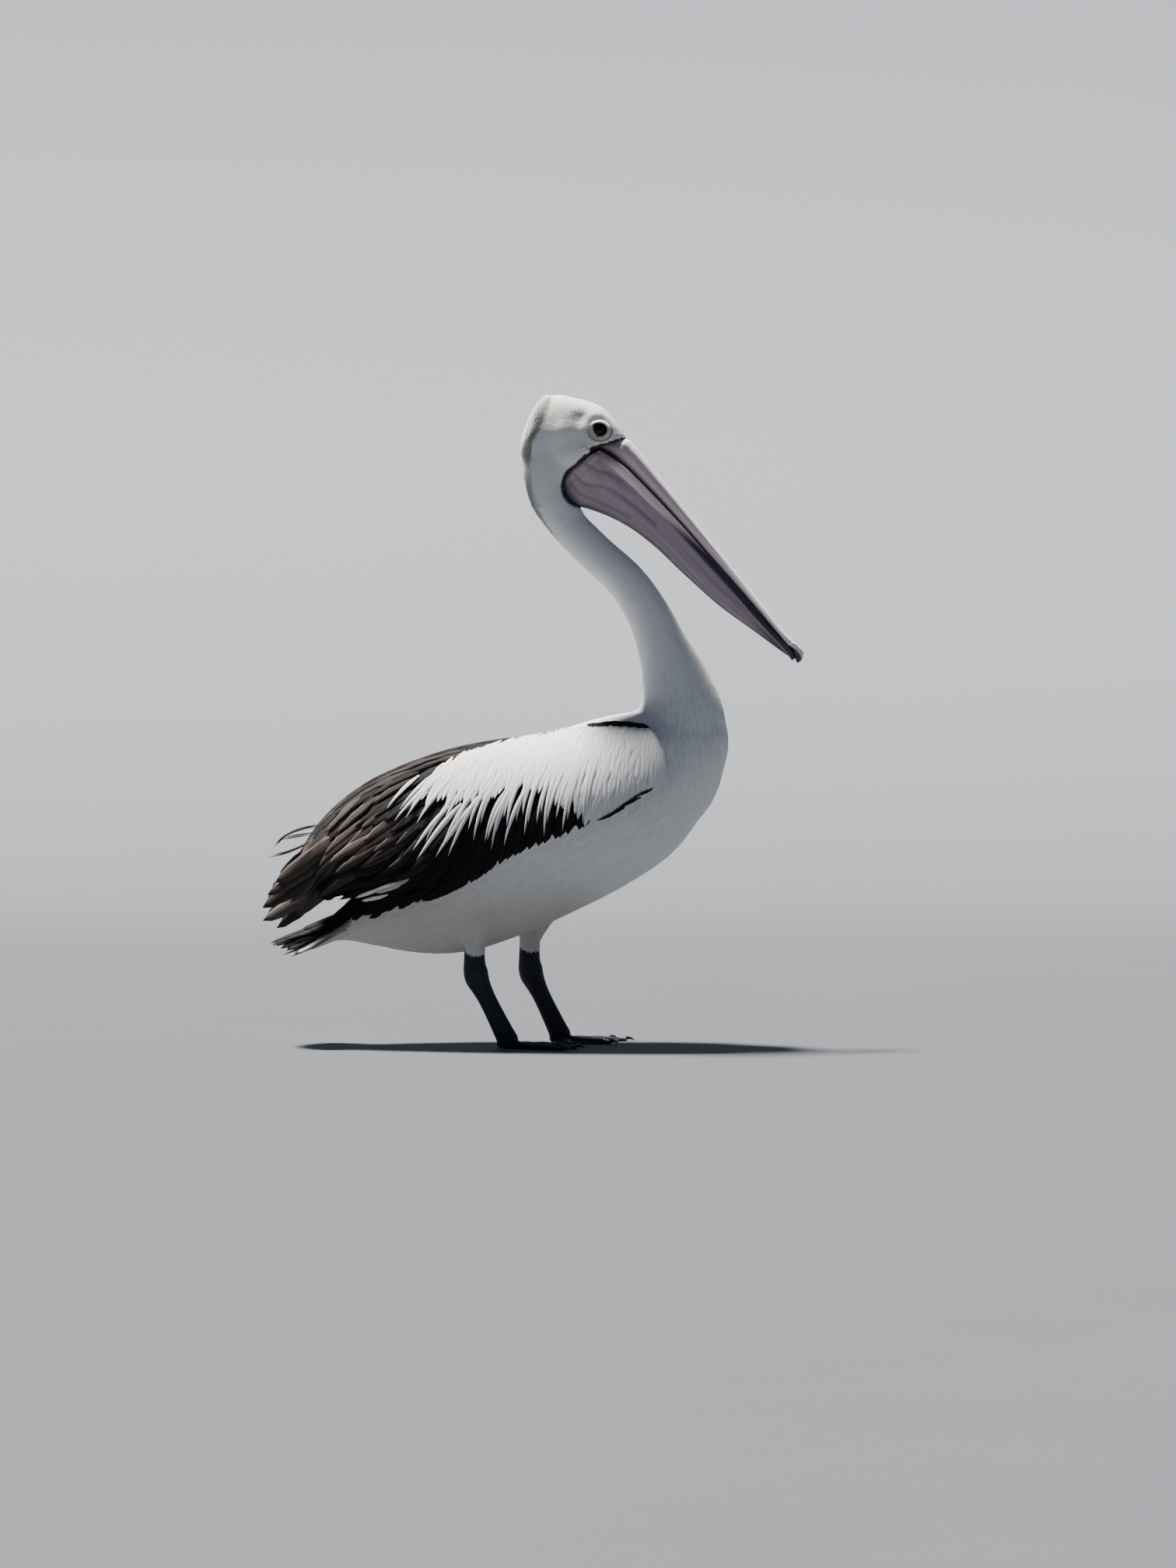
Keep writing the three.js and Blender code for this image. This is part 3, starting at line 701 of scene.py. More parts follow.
# A hollow temple behind the brow, and a full cheek behind that.
HOLLOWS = [[72, 966, 12, 4.4], [40, 946, 15, -4.0], [97, 977, 10, -1.6], [62, 932, 12, 1.8]]
HOLLOWS += [[50, 905, 18, -1.5], [*GAPE, 5.5, -5.0]]
for x, z, reach, deep in HOLLOWS:
    spot = np.array([x + AHEAD, z]) * MM
    dent += deep * np.exp(-((np.linalg.norm(skin_points[:, [0, 2]] - spot, axis=1) / MM / reach) ** 2))
# The nape lies lower than its loose hairs reach.
x, z = skin_points[:, 0] / MM - AHEAD, skin_points[:, 2] / MM
sunk = eased(z, 820, 915) * eased(-z, -1004, -960) * eased(-x, -36, 4)
inwards = unit(np.stack([42 - x, np.zeros_like(x), 930 - z], 1))
skin_points[:, 1] -= np.sign(skin_points[:, 1]) * dent * MM * (np.abs(skin_points[:, 1]) > 0.012)
move(skin, skin_points + inwards * (sunk * 4.5 * MM)[:, None])
modify(skin, "SMOOTH", factor=0.4, iterations=2)
nape = skin.vertex_groups.new(name="nape")
skin_points = points_of(skin.data)
x, z = skin_points[:, 0] / MM - AHEAD, skin_points[:, 2] / MM
nape.add(np.flatnonzero((x < 20) & (z > 840) & (z < 1000)).tolist(), 1.0, "REPLACE")
modify(skin, "SMOOTH", factor=0.5, iterations=40, vertex_group="nape")
skin_points = points_of(skin.data)

# ---------------------------------------------------------------- markings

# The middle line of the body from the bill to the tail: x, z and the way its back faces.
SPINE = [[140 - 25 * i, 936 + 2 * i, 0.42, 0.91, 40] for i in range(4)]
SPINE += [[x, z, *-heading(lean)[:2], deep] for x, z, lean, deep, _ in NECK[::-1]]
BODY = len(SPINE)  # the first station of the trunk
SPINE += [[4 + u * 0.891, 322 + u * 0.454, -0.454, 0.891, 120] for u in range(60, -400, -30)]
SPINE = np.array(SPINE)


def round_spine(points):
    """Where points lie round the body's middle line: station, rise to the back, angle."""
    x, y, z = (points / MM).T
    x = x - AHEAD
    gaps = (x[:, None] - SPINE[:, 0]) ** 2 + (z[:, None] - SPINE[:, 1]) ** 2
    at = gaps.argmin(1)
    near = SPINE[at]
    rise = (x - near[:, 0]) * near[:, 2] + (z - near[:, 1]) * near[:, 3]
    return at, rise / near[:, 4], np.arctan2(y, rise)


# The brown stripe down the back of the head: height, its front edge and its hind edge.
NAPE = [
    [738, 66, 30], [767, 45, 20], [792, 29, 10], [810, 17, -2], [828, 7, -8], [848, -3, -16],
    [882, -7, -19], [891, -6, -18], [931, 0, -14], [967, 21, 1], [986, 27, 13], [996, 30, 19],
    [1003, 30, 22],
]
RUMP = [[-353, 14], [-326, 16], [-290, 14], [-254, 5], [-228, 2], [-180, -11], [-150, -60]]
# The white of the wing, by place: the angles from the ridge where it begins and ends.
WHITE_WING = [
    [-122, 60, 60], [-100, 34, 47], [-66, 25, 57], [-9, 16, 59], [40, 11, 60], [75, 7, 66],
    [96, 0, 84], [112, 0, 100], [241, 0, 100],
]


def wing_place(points):
    """Place and angle on the folded wing, and how far in from its surface."""
    u, y, w = into(TRUNK_FRAME, points).T
    ridge, low, wide, _ = read_wing(u)
    across, up = np.abs(y) / wide, (w - low) / (ridge - low)
    depth = (1 - np.hypot(across, up)) * 0.5 * (wide + ridge - low)
    return u, np.degrees(np.arctan2(across, up)), depth


def on_wing(points):
    u, angle, depth = wing_place(points)
    start = read_wing(u)[3]
    return (u > -340) & (u < 242) & (angle > start - 1) & (angle < 93) & (depth < 12.5)


def marks_at(points):
    """How black, grey and cream the plumage is at points of the body, with painted shade on the temple
    and the belly, and the black wedge over the wing partly painted shadow.
    """
    x, _, z = (points / MM).T
    x = x - AHEAD
    at, rise, _ = round_spine(points)
    neck = at < BODY
    front, hind = straight(NAPE, z)
    stripe = eased(front - x, -2, 4) * (1 - 0.85 * eased(hind - x, -5, 6))
    grey = np.where(neck, stripe * eased(z, 740, 800) * eased(-z, -1004, -998), 0)
    # A grey patch over the hollow temple behind the eye: painted shade.
    temple_shade = np.exp(-(((x - 66) / 14) ** 2 + ((z - 962) / 8) ** 2))
    grey = np.maximum(grey, 0.22 * temple_shade)
    front = eased(-rise, 0.2, 0.8) * eased(z, 545, 600) * eased(-z, -740, -690)
    cream = np.where(neck, 0.3 * front, 0)
    # Grey and cream low on the belly, towards the tail: painted shade, warmed as by light thrown up
    # from the ground.
    belly_shade = np.where(neck, 0, eased(-z, -300, -195) * eased(-x, -150, -40))
    grey = np.maximum(grey, 0.40 * belly_shade)
    cream = np.maximum(cream, 0.45 * belly_shade)
    u, _, w = into(TRUNK_FRAME, points).T
    black = ((u < -178) & (w > straight(RUMP, u)[0])).astype(float)
    _, angle, depth = wing_place(points)
    first, last = straight(WHITE_WING, u)
    winged = on_wing(points) & ((angle < first) | (angle > last))
    back = (u < 62) & (w > 120)
    edge = angle - read_wing(u)[3]
    # Black in the groove between the mantle and the wing's upper edge: partly black scapulars, partly
    # painted shadow of the wing's raised edge.
    wedge = (u > 125) & (u < 231) & (edge < 1.5) & (depth < 17)
    wedge &= edge > np.interp(u, [125, 164, 200, 225, 237], [1, -2, -5, -7, -4])
    black = np.maximum(black, winged | back | wedge)
    grey, cream = np.where(black > 0.5, 0.05, grey), np.where(black > 0.5, 0, cream)
    return np.stack([black, grey, cream], 1)


def bare_at(points):
    """How bare the face is, round the eye."""
    out = np.hypot(points[:, 0] - EYE.x - 0.0018, (points[:, 2] - EYE.z + 0.0012) * 1.06) / MM
    return eased(-out, -20.5, -18.5) * (np.abs(points[:, 1]) > 0.014)


keep(skin, "marks", np.c_[marks_at(skin_points), np.full(len(skin_points), 0.5)], "FLOAT_COLOR")
keep(skin, "bare", bare_at(skin_points))
# Skin tucked in under the bill's root: bare skin, painted dark as the shade of that recess.
along, _, up = bill_place(skin_points)
tucked_in_shade = (behind_feather_line(skin_points) < 2.2) & (up > read_pouch(along)[1] - 2) & (along < 60)
keep(skin, "gum", tucked_in_shade)
dressed(
    skin,
    skin_material,
    ["head", "neck_upper", "neck_middle", "neck_lower", "trunk"]
    + [part + side for side in SIDES for part in ("thigh_", "wing_arm_")],
)

# ---------------------------------------------------------------- feathers

chance = np.random.default_rng(7)

# Sections of a feather: across, share of the camber, share of the thickness.
HAIR = np.array([[-1, 0, 0], [0, 1, 0.5], [1, 0, 0]])
TUFT = np.array([[-1, 0, 0], [0, 1, 0.5], [1, 0, 0], [0, 0.6, -0.5]])
VANE = np.array(
    [[-1, 0, 0], [-0.5, 0.75, 0.5], [0, 1, 0.9], [0.5, 0.75, 0.5], [1, 0, 0]]
    + [[0.5, 0.65, -0.5], [0, 0.9, -0.5], [-0.5, 0.65, -0.5]]
)
# Outlines of feathers: share of the length and of the half breadth.
ROUND = [[0, 0.35], [0.3, 0.85], [0.6, 1], [0.85, 0.78], [0.95, 0.5], [1, 0]]
POINTED = [[0, 0.4], [0.3, 0.95], [0.55, 1], [0.8, 0.62], [0.93, 0.28], [1, 0]]
LANCE = [[0, 0.5], [0.25, 1], [0.45, 0.92], [0.65, 0.68], [0.85, 0.36], [1, 0]]
QUILL = [[0, 0.4], [0.15, 0.8], [0.5, 1], [0.8, 0.9], [0.93, 0.62], [1, 0]]


def inside_out(points, faces):
    """Whether the faces of a closed form face inwards."""
    heart = points.mean(0)
    volume = 0.0
    for face in faces:
        a = points[face[0]] - heart
        for i in range(1, len(face) - 1):
            volume += a @ np.cross(points[face[i]] - heart, points[face[i + 1]] - heart)
    return volume < 0


def feathers(name, line, up, half, marks, unwrap, section, camber, thick, round_off):
    """Many closed vanes in one mesh. line holds each feather's middle from root to tip, up
    the way that it faces, and half its half breadth on either side of the shaft. The vanes
    catch the light as the coat does, rounded off a little at their edges."""
    count, steps, _ = line.shape
    sides = len(section)
    along = unit(np.gradient(line, axis=1))
    across = unit(np.cross(up, along))
    face = np.cross(along, across)
    if half.ndim == 2:
        half = np.repeat(half[..., None], 2, axis=2)
    reach = np.where(section[:, 0] < 0, half[:, :, :1], half[:, :, 1:])
    broad = half.mean(2)[..., None]
    rings = (
        line[:, :, None]
        + across[:, :, None] * (reach * section[:, 0])[..., None]
        + face[:, :, None] * (broad * camber * section[:, 1] + thick * section[:, 2])[..., None]
    )
    points = np.concatenate([rings[:, :-1].reshape(count, -1, 3), line[:, -1:]], 1)
    under = np.where(section[:, 2] < 0, -1.0, 1.0)[:, None]
    facings = unit(face[:, :, None] * under + across[:, :, None] * section[:, :1] * round_off)
    facings = np.concatenate([facings[:, :-1].reshape(count, -1, 3), face[:, -1:]], 1)
    per = points.shape[1]
    last = (steps - 2) * sides
    faces = [list(range(sides))[::-1]]
    for j in range(sides):
        k = (j + 1) % sides
        faces += [[i + j, i + k, i + sides + k, i + sides + j] for i in range(0, last, sides)]
        faces.append([last + j, last + k, per - 1])
    if inside_out(points[0], faces):
        faces = [f[::-1] for f in faces]
    loops = np.concatenate([np.array(f) for f in faces])
    sizes = np.array([len(f) for f in faces])
    corners = (np.arange(count)[:, None] * per + loops).ravel()
    starts = np.arange(count)[:, None] * len(loops) + np.cumsum(np.r_[0, sizes[:-1]])
    mesh = bpy.data.meshes.new(name)
    mesh.vertices.add(count * per)
    mesh.loops.add(len(corners))
    mesh.polygons.add(count * len(sizes))
    mesh.vertices.foreach_set("co", points.astype(np.float32).ravel())
    mesh.loops.foreach_set("vertex_index", corners.astype(np.int32))
    mesh.polygons.foreach_set("loop_start", starts.ravel().astype(np.int32))
    mesh.update(calc_edges=True)
    mesh.shade_smooth()
    share = np.repeat(np.linspace(0, 1, steps)[:-1], sides)
    place = np.stack([np.r_[np.tile(section[:, 0], steps - 1), 0] / 2 + 0.5, np.r_[share, 1]], 1)
    patch = unwrap[:, None] + (place[:, ::-1] - 0.5) * 0.003
    for layer, uv in (("OFBake", patch.reshape(-1, 2)), ("vane", np.tile(place, (count, 1)))):
        mesh.uv_layers.new(name=layer).data.foreach_set("uv", uv[corners].astype(np.float32).ravel())
    piece = linked(name, mesh)
    if marks.ndim == 2:
        marks = np.repeat(marks[:, None], per, axis=1)
    luck = np.broadcast_to(chance.random((count, 1, 1)), (count, per, 1))
    keep(piece, "marks", np.concatenate([marks, luck], 2), "FLOAT_COLOR")
    if round_off:
        mesh.normals_split_custom_set_from_vertices(facings.reshape(-1, 3).tolist())
    return piece


def outline(shape, half, steps, ragged=0.0):
    """Half breadths from root to tip on both sides of the shaft, in metres."""
    share = np.linspace(0, 1, steps)
    rim = straight(shape, share)[0]
    half = np.asarray(half, float).reshape(-1, 1, 1) * MM * rim[:, None]
    bite = chance.random((len(half), steps, 2)) ** 4 * ragged
    return half * np.ones(2) * (1 - bite)


def spread(values):
    """Values brought to the middle of the square from 0 to 1."""
    low, high = values.min(0), values.max(0)
    return 0.02 + 0.96 * (values - low) / np.maximum(high - low, 1e-9)


# The skin as points, faces and normals, for planting.
skin_faces = np.array([face.vertices[:] for face in skin.data.polygons])
skin_normals = points_of(skin.data, "normal")
skin_tree = BVHTree.FromPolygons(skin_points.tolist(), skin_faces.tolist())


def on_skin(points):
    """The nearest points of the skin, and the way that it faces there."""
    found = [skin_tree.find_nearest(p) for p in points.tolist()]
    there = np.array([spot[0] for spot in found])
    return there, unit(skin_normals[skin_faces[[spot[2] for spot in found]]].mean(1))


def skin_out(x, z, side, without):
    """How far out from the middle the skin lies at places seen from one side."""
    hits = [skin_tree.ray_cast((a, side * 0.09, b), (0, -side, 0))[0] for a, b in zip(x, z)]
    return np.array([without if hit is None else abs(hit.y) / MM for hit in hits])


def lie_of(points):
    """How feathers lie at points: direction, length and breadth in millimetres."""
    table = np.array(LIE)
    x, _, z = (points / MM).T
    gaps = (x[:, None] - AHEAD - table[:, 0]) ** 2 + (z[:, None] - table[:, 1]) ** 2
    weight = 1 / (gaps + 60) ** 2
    weight /= weight.sum(1, keepdims=True)
    dx, dz, length, broad = (weight @ table[:, 2:]).T
    return np.stack([dx, np.zeros_like(dx), dz], 1), length, broad


def swung(way, facing, swing):
    """Ways turned a little over the surface, each by chance."""
    return unit(way + np.cross(facing, way) * chance.normal(0, swing, (len(way), 1)))


def planted(spacing):
    """Points spread evenly over the skin, as far apart as spacing says there."""
    crowd = 6  # how many are tried for each one wanted
    corners = skin_points[skin_faces]
    middle = corners.mean(1)
    across = np.cross(corners[:, 2] - corners[:, 0], corners[:, 3] - corners[:, 1])
    area = np.linalg.norm(across, axis=1) / 2
    want = area / (spacing(middle) * MM) ** 2
    count = int(want.sum() * crowd)
    face = chance.choice(len(want), count, p=want / want.sum())
    a, b = chance.random((2, count, 1))
    c = corners[face]
    points = (c[:, 0] * (1 - a) + c[:, 1] * a) * (1 - b) + (c[:, 3] * (1 - a) + c[:, 2] * a) * b
    gap = spacing(points) * MM
    tree = KDTree(count)
    for i, p in enumerate(points):
        tree.insert(p, i)
    tree.balance()
    free = np.ones(count, bool)
    taken = []
    for i in range(count):
        if free[i]:
            taken.append(i)
            free[[near[1] for near in tree.find_range(points[i], gap[i])]] = False
    return points[taken]


def coat(name, line, up, half, marks, place, section=HAIR, camber=0.3):
    """A piece of the coat, of hairs or of small feathers."""
    material = coverts if camber < 0.3 else down
    piece = feathers(name, line, up, half, marks, spread(place), section, camber, 0.0004, 0.3)
    dressed(piece, material)


# Where a small feather's points lie along it.
SHARES = np.array([0, 0.35, 0.7, 1.0])[:, None]
DOWN_AND_BACK = np.array([-0.4, 0, -1.0])
# Pieces of the coat: the first and the last station of the middle line that each takes.
COAT = [
    ["head", 0, 5], ["nape", 5, 7], ["throat", 7, 10], ["neck", 10, 14], ["breast", 14, BODY],
    ["flanks", BODY, 99],
]


def body_coat():
    """The feathers of the head, neck and body, in pieces from the bill to the tail."""
    roots = planted(lambda p: 0.53 * np.sqrt(np.prod(lie_of(p)[1:], axis=0)))
    feathered = behind_feather_line(roots) > 0.9
    along, _, up = bill_place(roots)
    clear = feathered | (up < read_pouch(along)[1] - 1) | (along > 110)
    clear &= ~on_wing(roots) & (bare_at(roots) < 0.5)
    roots, facing = on_skin(roots[clear])
    way, length, broad = lie_of(roots)
    length = length * chance.uniform(0.85, 1.15, len(roots)) * MM
    broad = broad * chance.uniform(0.85, 1.15, len(roots)) * MM
    way = swung(flattened(way, facing), facing, 0.09)
    half_way, half_up = on_skin(roots + way * length[:, None] * 0.5)
    far, far_up = on_skin(roots + way * length[:, None])
    bends = ((1 - SHARES) * (1 - 2 * SHARES), 4 * SHARES * (1 - SHARES), SHARES * (2 * SHARES - 1))

    def through(*three):
        return sum(at[:, None] * bend for at, bend in zip(three, bends))

    rise = np.minimum(0.05 * length, 0.0007) * chance.uniform(0.7, 1.25, len(roots))
    gape = np.hypot(roots[:, 0] / MM - AHEAD - GAPE[0], roots[:, 2] / MM - GAPE[1])
    rise += 0.001 * np.exp(-((gape / 5.5) ** 2))
    height = -0.0006 + rise[:, None] * SHARES[:, 0] ** 0.8
    facings = unit(through(facing, half_up, far_up))
    line = through(roots, half_way, far) + facings * height[..., None]
    half = broad[:, None] / 2 * np.array([0.55, 1, 0.8, 0])
    at, _, angle = round_spine(roots)
    marks = marks_at(roots + chance.normal(0, 1.3, roots.shape) * MM)
    for name, first, last in COAT:
        some = (at >= first) & (at < last)
        place = np.stack([roots[some] @ DOWN_AND_BACK, angle[some]], 1)
        kind = (HAIR, 0.30) if last < BODY else (TUFT, 0.16)
        coat("coat_" + name, line[some], facings[some], half[some], marks[some], place, *kind)


body_coat()


def leg_fringe():
    """Short feathers that hang from the thighs over the tops of the legs."""
    lines, ups = [], []
    for leg in LEGS.values():
        x, y, _ = leg["ankle"]
        for ring in range(5):
            turn = np.arange(46) / 46 * 2 * np.pi + ring * 0.7 + chance.normal(0, 0.04, 46)
            round_leg = np.stack([np.cos(turn), np.sin(turn), 0 * turn], 1)
            root = np.array([x - 2.6 + AHEAD, y, SHANK_TOP + 3 + ring * 2.4])
            root = root + round_leg * np.array([15.6, 12.0, 0])
            drop = chance.uniform(0.75, 1.25, (46, 1)) * np.array([0, 0, -11.0])
            lines.append(root[:, None] + (drop[:, None] - round_leg[:, None] * 1.6) * SHARES)
            ups.append(np.repeat(round_leg[:, None], 4, axis=1))
    line, up = np.concatenate(lines) * MM, np.concatenate(ups)
    half = 1.5 * MM * np.ones((len(line), 1)) * np.array([0.6, 1, 0.8, 0])
    marks = np.repeat([[0.0, 0.35, 0.0]], len(line), axis=0)
    place = np.stack([np.arange(len(line)) % 23, np.arange(len(line)) // 23], 1)
    coat("coat_leg_fringe", line, up, half, marks, place)


leg_fringe()


# The crest's height over the floor, and the length of its hairs there.
CREST = [
    [740, 4], [790, 6], [850, 9], [895, 11], [905, 9], [925, 6], [945, 9], [966, 13], [985, 11],
    [1004, 5],
]


def nape_crest():
    """Loose hairs that stand up from the back of the head and the neck."""
    middle = skin_points[skin_faces].mean(1)
    at, _, angle = round_spine(middle)
    hind = (at >= 3) & (at < 13) & (np.abs(angle) < 1.0) & (middle[:, 0] / MM - AHEAD < 27)
    roots = np.repeat(middle[hind], 9, axis=0)
    roots, facing = on_skin(roots + chance.normal(0, 1.6, roots.shape) * MM)
    way = swung(flattened(lie_of(roots)[0], facing), facing, 0.16)
    _, _, angle = round_spine(roots)
    inner = eased(-np.abs(angle), -1.0, -0.35) * eased(-roots[:, 0] / MM + AHEAD, -29, -4)
    kept = chance.random(len(roots)) < 0.12 + 0.88 * inner
    roots, facing, way, angle, inner = (part[kept] for part in (roots, facing, way, angle, inner))
    length = straight(CREST, roots[:, 2] / MM)[0] * chance.uniform(0.6, 1.15, len(roots)) * MM
    stand = (0.02 + 0.17 * inner) * chance.uniform(0.3, 1.3, len(roots))
    line = roots[:, None] + (way * length[:, None])[:, None] * SHARES
    line = line + facing[:, None] * (length * stand)[:, None, None] * SHARES**1.4
    line = line - facing[:, None] * 0.0005
    half = chance.uniform(0.30, 0.48, (len(roots), 1)) * MM * np.array([1, 0.95, 0.65, 0])
    # Paler and creamier than the stripe beneath: partly the fuzz's own tone, partly painted light where
    # the loose hairs glow against the sun.
    marks = marks_at(roots + chance.normal(0, 2, roots.shape) * MM) * 0.36 + np.array([0, 0.03, 0.14])
    place = np.stack([roots @ DOWN_AND_BACK, angle], 1)
    coat("coat_crest", line, np.repeat(facing[:, None], 4, axis=1), half, marks, place)


nape_crest()


def gape_tuft():
    """A puff of small white feathers over each corner of the mouth."""
    long, broad, high = 6.4, 5.0, 5.2
    grid = range(-5, 6)
    spots = np.array([(i * 1.2 + 0.6 * (j % 2), j * 1.0) for j in grid for i in grid])
    spots = spots[np.hypot(spots[:, 0] / long, spots[:, 1] / broad) < 1]
    share = np.linspace(0, 1, 6)
    reach = 4.6 + 1.8 * np.sin(7.1 * spots[:, :1] + 3.3 * spots[:, 1:])
    a = spots[:, :1] + share * reach - 1.5
    b = spots[:, 1:] + 0 * a
    bulge = np.sqrt(np.maximum(1 - (a / long) ** 2 - (b / broad) ** 2, 0.02))
    rise = high * bulge + 0.5 * share - 0.8
    lines, ups = [], []
    for side in (-1, 1):
        middle, out = on_skin(np.array([[GAPE[0] - 1 + AHEAD, side * 34, GAPE[1] - 1]]) * MM)
        along = flattened(np.array([[-0.9, 0, 0.3]]), out)
        across = np.cross(out, along)
        spread_out = along * a[..., None] + across * b[..., None] + out * rise[..., None]
        lines.append(middle + spread_out * MM)
        slope = along * (a / long**2)[..., None] + across * (b / broad**2)[..., None]
        ups.append(unit(slope + out * (bulge / high + 0.12)[..., None]))
    line, up = np.concatenate(lines), np.concatenate(ups)
    half = outline(ROUND, np.full(len(line), 1.15), 6, 0.15)
    place = np.concatenate([spots, spots + np.array([20, 0])])
    coat("coat_gape", line, up, half, np.zeros((len(line), 3)), place, TUFT)


gape_tuft()

# ---------------------------------------------------------------- wings


def wing_lines(side, u, angle, slope, length, steps, lift, bend=0.0, from_tip=False):
    """Feathers' middle lines over the folded wing. slope is how far below straight back
    they point, in degrees; lift is their height over the wing at root and tip."""
    u, angle = np.array(u, float), np.array(angle, float)
    step = np.asarray(length, float) / (steps - 1) * (-1 if from_tip else 1)
    path = []
    for k in range(steps):
        angle = np.maximum(angle, 1.5)
        path.append((u, angle))
        ridge, low, wide, _ = read_wing(u)
        t = np.radians(angle)
        speed = np.hypot(wide * np.cos(t), (ridge - low) * np.sin(t)) * np.pi / 180
        s = 1 - k / (steps - 1) if from_tip else k / (steps - 1)
        tilt = np.radians(slope + bend * (s - 0.5))
        u = u - np.cos(tilt) * step
        angle = angle + np.sin(tilt) * step / np.maximum(speed, 0.4)
    path = path[::-1] if from_tip else path
    u, angle = np.array(path).transpose(1, 2, 0)
    point = wing_point(side, u, angle)
    ridge, low, wide, _ = read_wing(u)
    t = np.radians(angle)
    over = np.stack([0 * u, side * wide * np.cos(t), (low - ridge) * np.sin(t)], -1)
    back = wing_point(side, u + 2, angle) - wing_point(side, u - 2, angle)
    up = unit(np.cross(back, over)) * side
    share = np.linspace(0, 1, steps)
    root_lift, tip_lift = (np.asarray(x, float).reshape(-1, 1) for x in lift)
    height = root_lift + (tip_lift - root_lift) * share
    line = out_of(TRUNK_FRAME, point + up * height[..., None])
    return line, turned(TRUNK_FRAME, up), np.stack([u[:, 0], angle[:, 0]], 1)


def wing_slope(u):
    """How far below straight back the feathers of the wing point, by place."""
    places = [-400, -300, -200, -160, -110, -60, 0, 120, 240]
    return np.interp(u, places, [8, 12, 22, 30, 39, 46, 51, 53, 55])


def rows_between(first, last, gap, jitter=0.25):
    """Places from first to last, about a gap apart."""
    count = max(2, int(abs(last - first) / gap) + 1)
    return np.linspace(first, last, count) + chance.uniform(-jitter, jitter, count) * gap


def wing_group(name, groups, slot, material, *form):
    """Joins rows of feathers of one wing into a piece."""
    pieces = []
    for line, up, place, half, marks in groups:
        unwrap = np.clip(np.stack([(place[:, 0] + 440) / 700, place[:, 1] / 130 + 0.1], 1), 0.02, 0.98)
        pieces.append(feathers(name, line, up, half, marks, unwrap, VANE, *form))
    dressed(joined(name, pieces), material)


def tinted(count, black, grey):
    """Marks for a row of feathers, each a little different."""
    fresh = chance.random(count) < 0.45
    wear = np.where(fresh, 0.06, chance.uniform(0.6, 1.3, count))
    grey = np.clip(np.broadcast_to(grey, count) * wear, 0, 1)
    return np.stack([np.full(count, float(black)), grey, np.zeros(count)], 1)


def row(
    side, u, angle, length, half, lift, black, grey, shape, steps,
    slope=None, bend=0.0, from_tip=False, ragged=0.25,
):
    """One row of feathers on the wing."""
    u = np.asarray(u, float)
    count = len(u)
    slope = wing_slope(u) if slope is None else np.broadcast_to(slope, count)
    slope = slope + chance.normal(0, 2.2, count)
    length = np.broadcast_to(length, count) * chance.uniform(0.93, 1.07, count)
    half = np.broadcast_to(half, count) * chance.uniform(0.9, 1.1, count)
    angle = np.broadcast_to(angle, count)
    line, up, place = wing_lines(side, u, angle, slope, length, steps, lift, bend, from_tip)
    return line, up, place, outline(shape, half, steps, ragged), tinted(count, black, grey)


# Long white feathers that hang over the black: tip's place and angle, and length.
FINGERS = [
    [-180, 51, 97], [-162, 52, 96], [-151, 57, 92], [-177, 73, 104], [-149, 75, 106],
    [-131, 77, 108], [-112, 70, 92], [-85, 76, 100], [-66, 79, 104], [-67, 84, 112],
    [-47, 85, 110], [-30, 77, 92], [-12, 84, 108], [2, 79, 92], [14, 88, 112], [27, 82, 96],
    [42, 89, 110], [57, 84, 92], [75, 89, 104], [88, 84, 84],
]


# Secondaries and greater coverts, down to the lower edge: the row's first and last place, gap
# and angle, its feathers' length, half breadth, height at the tip, wear, outline, steps and bend.
BLACK_ROWS = [
    [90, -200, 13, 91.5, 120, 12, -4.4, 0.03, QUILL, 12, 12],
    [84, -205, 13, 84, 98, 11.5, -4.4, 0.03, POINTED, 11, 10],
    [76, -215, 14, 73, 86, 12, -4.4, 0.04, POINTED, 11, 8],
    [20, -215, 15, 61, 80, 12, -4.4, 0.05, POINTED, 11, 8],
    [-60, -215, 17, 49, 80, 13, -4, 0.1, POINTED, 11, 8],
]
# Tertials over the hind part, brown where they are worn: angle, place of the tip, wear.
TERTIALS = [
    [91, -312, 0.05], [85, -326, 0.1], [78, -334, 0.3], [71, -340, 0.5], [64, -344, 0.6],
    [57, -348, 0.8], [50, -350, 0.9], [43, -353, 1.0], [36, -354, 1.0], [29, -354, 1.0],
]
# Bleached ones among them: place and angle of the tip.
BLEACHED = [
    [-252, 31], [-237, 38], [-268, 48], [-324, 32], [-287, 54], [-268, 57], [-345, 47],
    [-309, 62], [-349, 74], [-306, 80], [-268, 67],
]
# Scapulars along the back: angle, first and last place, length.
SCAPULARS = [[22, -80, -345, 105], [15, -50, -345, 110], [9, -30, -342, 112], [4, -20, -340, 112]]
# Loose plumes that curl up behind the back: root, bend and tip, as places and heights.
CURLS = [
    [[-290, 168], [-346, 188], [-366, 168]], [[-312, 152], [-352, 150], [-380, 161]],
    [[-300, 160], [-335, 172], [-352, 176]],
]
# Layers of the hanging white feathers: the first of FINGERS and the step to the next, their
# share of the length, how far they stray, half breadth and height at the tip.
WHITE_LAYERS = [[0, 2, 0.72, 5, 3.6, -1.4], [1, 2, 0.82, 4, 3.8, -1.2], [0, 1, 1.0, 0, 4.2, -0.6]]


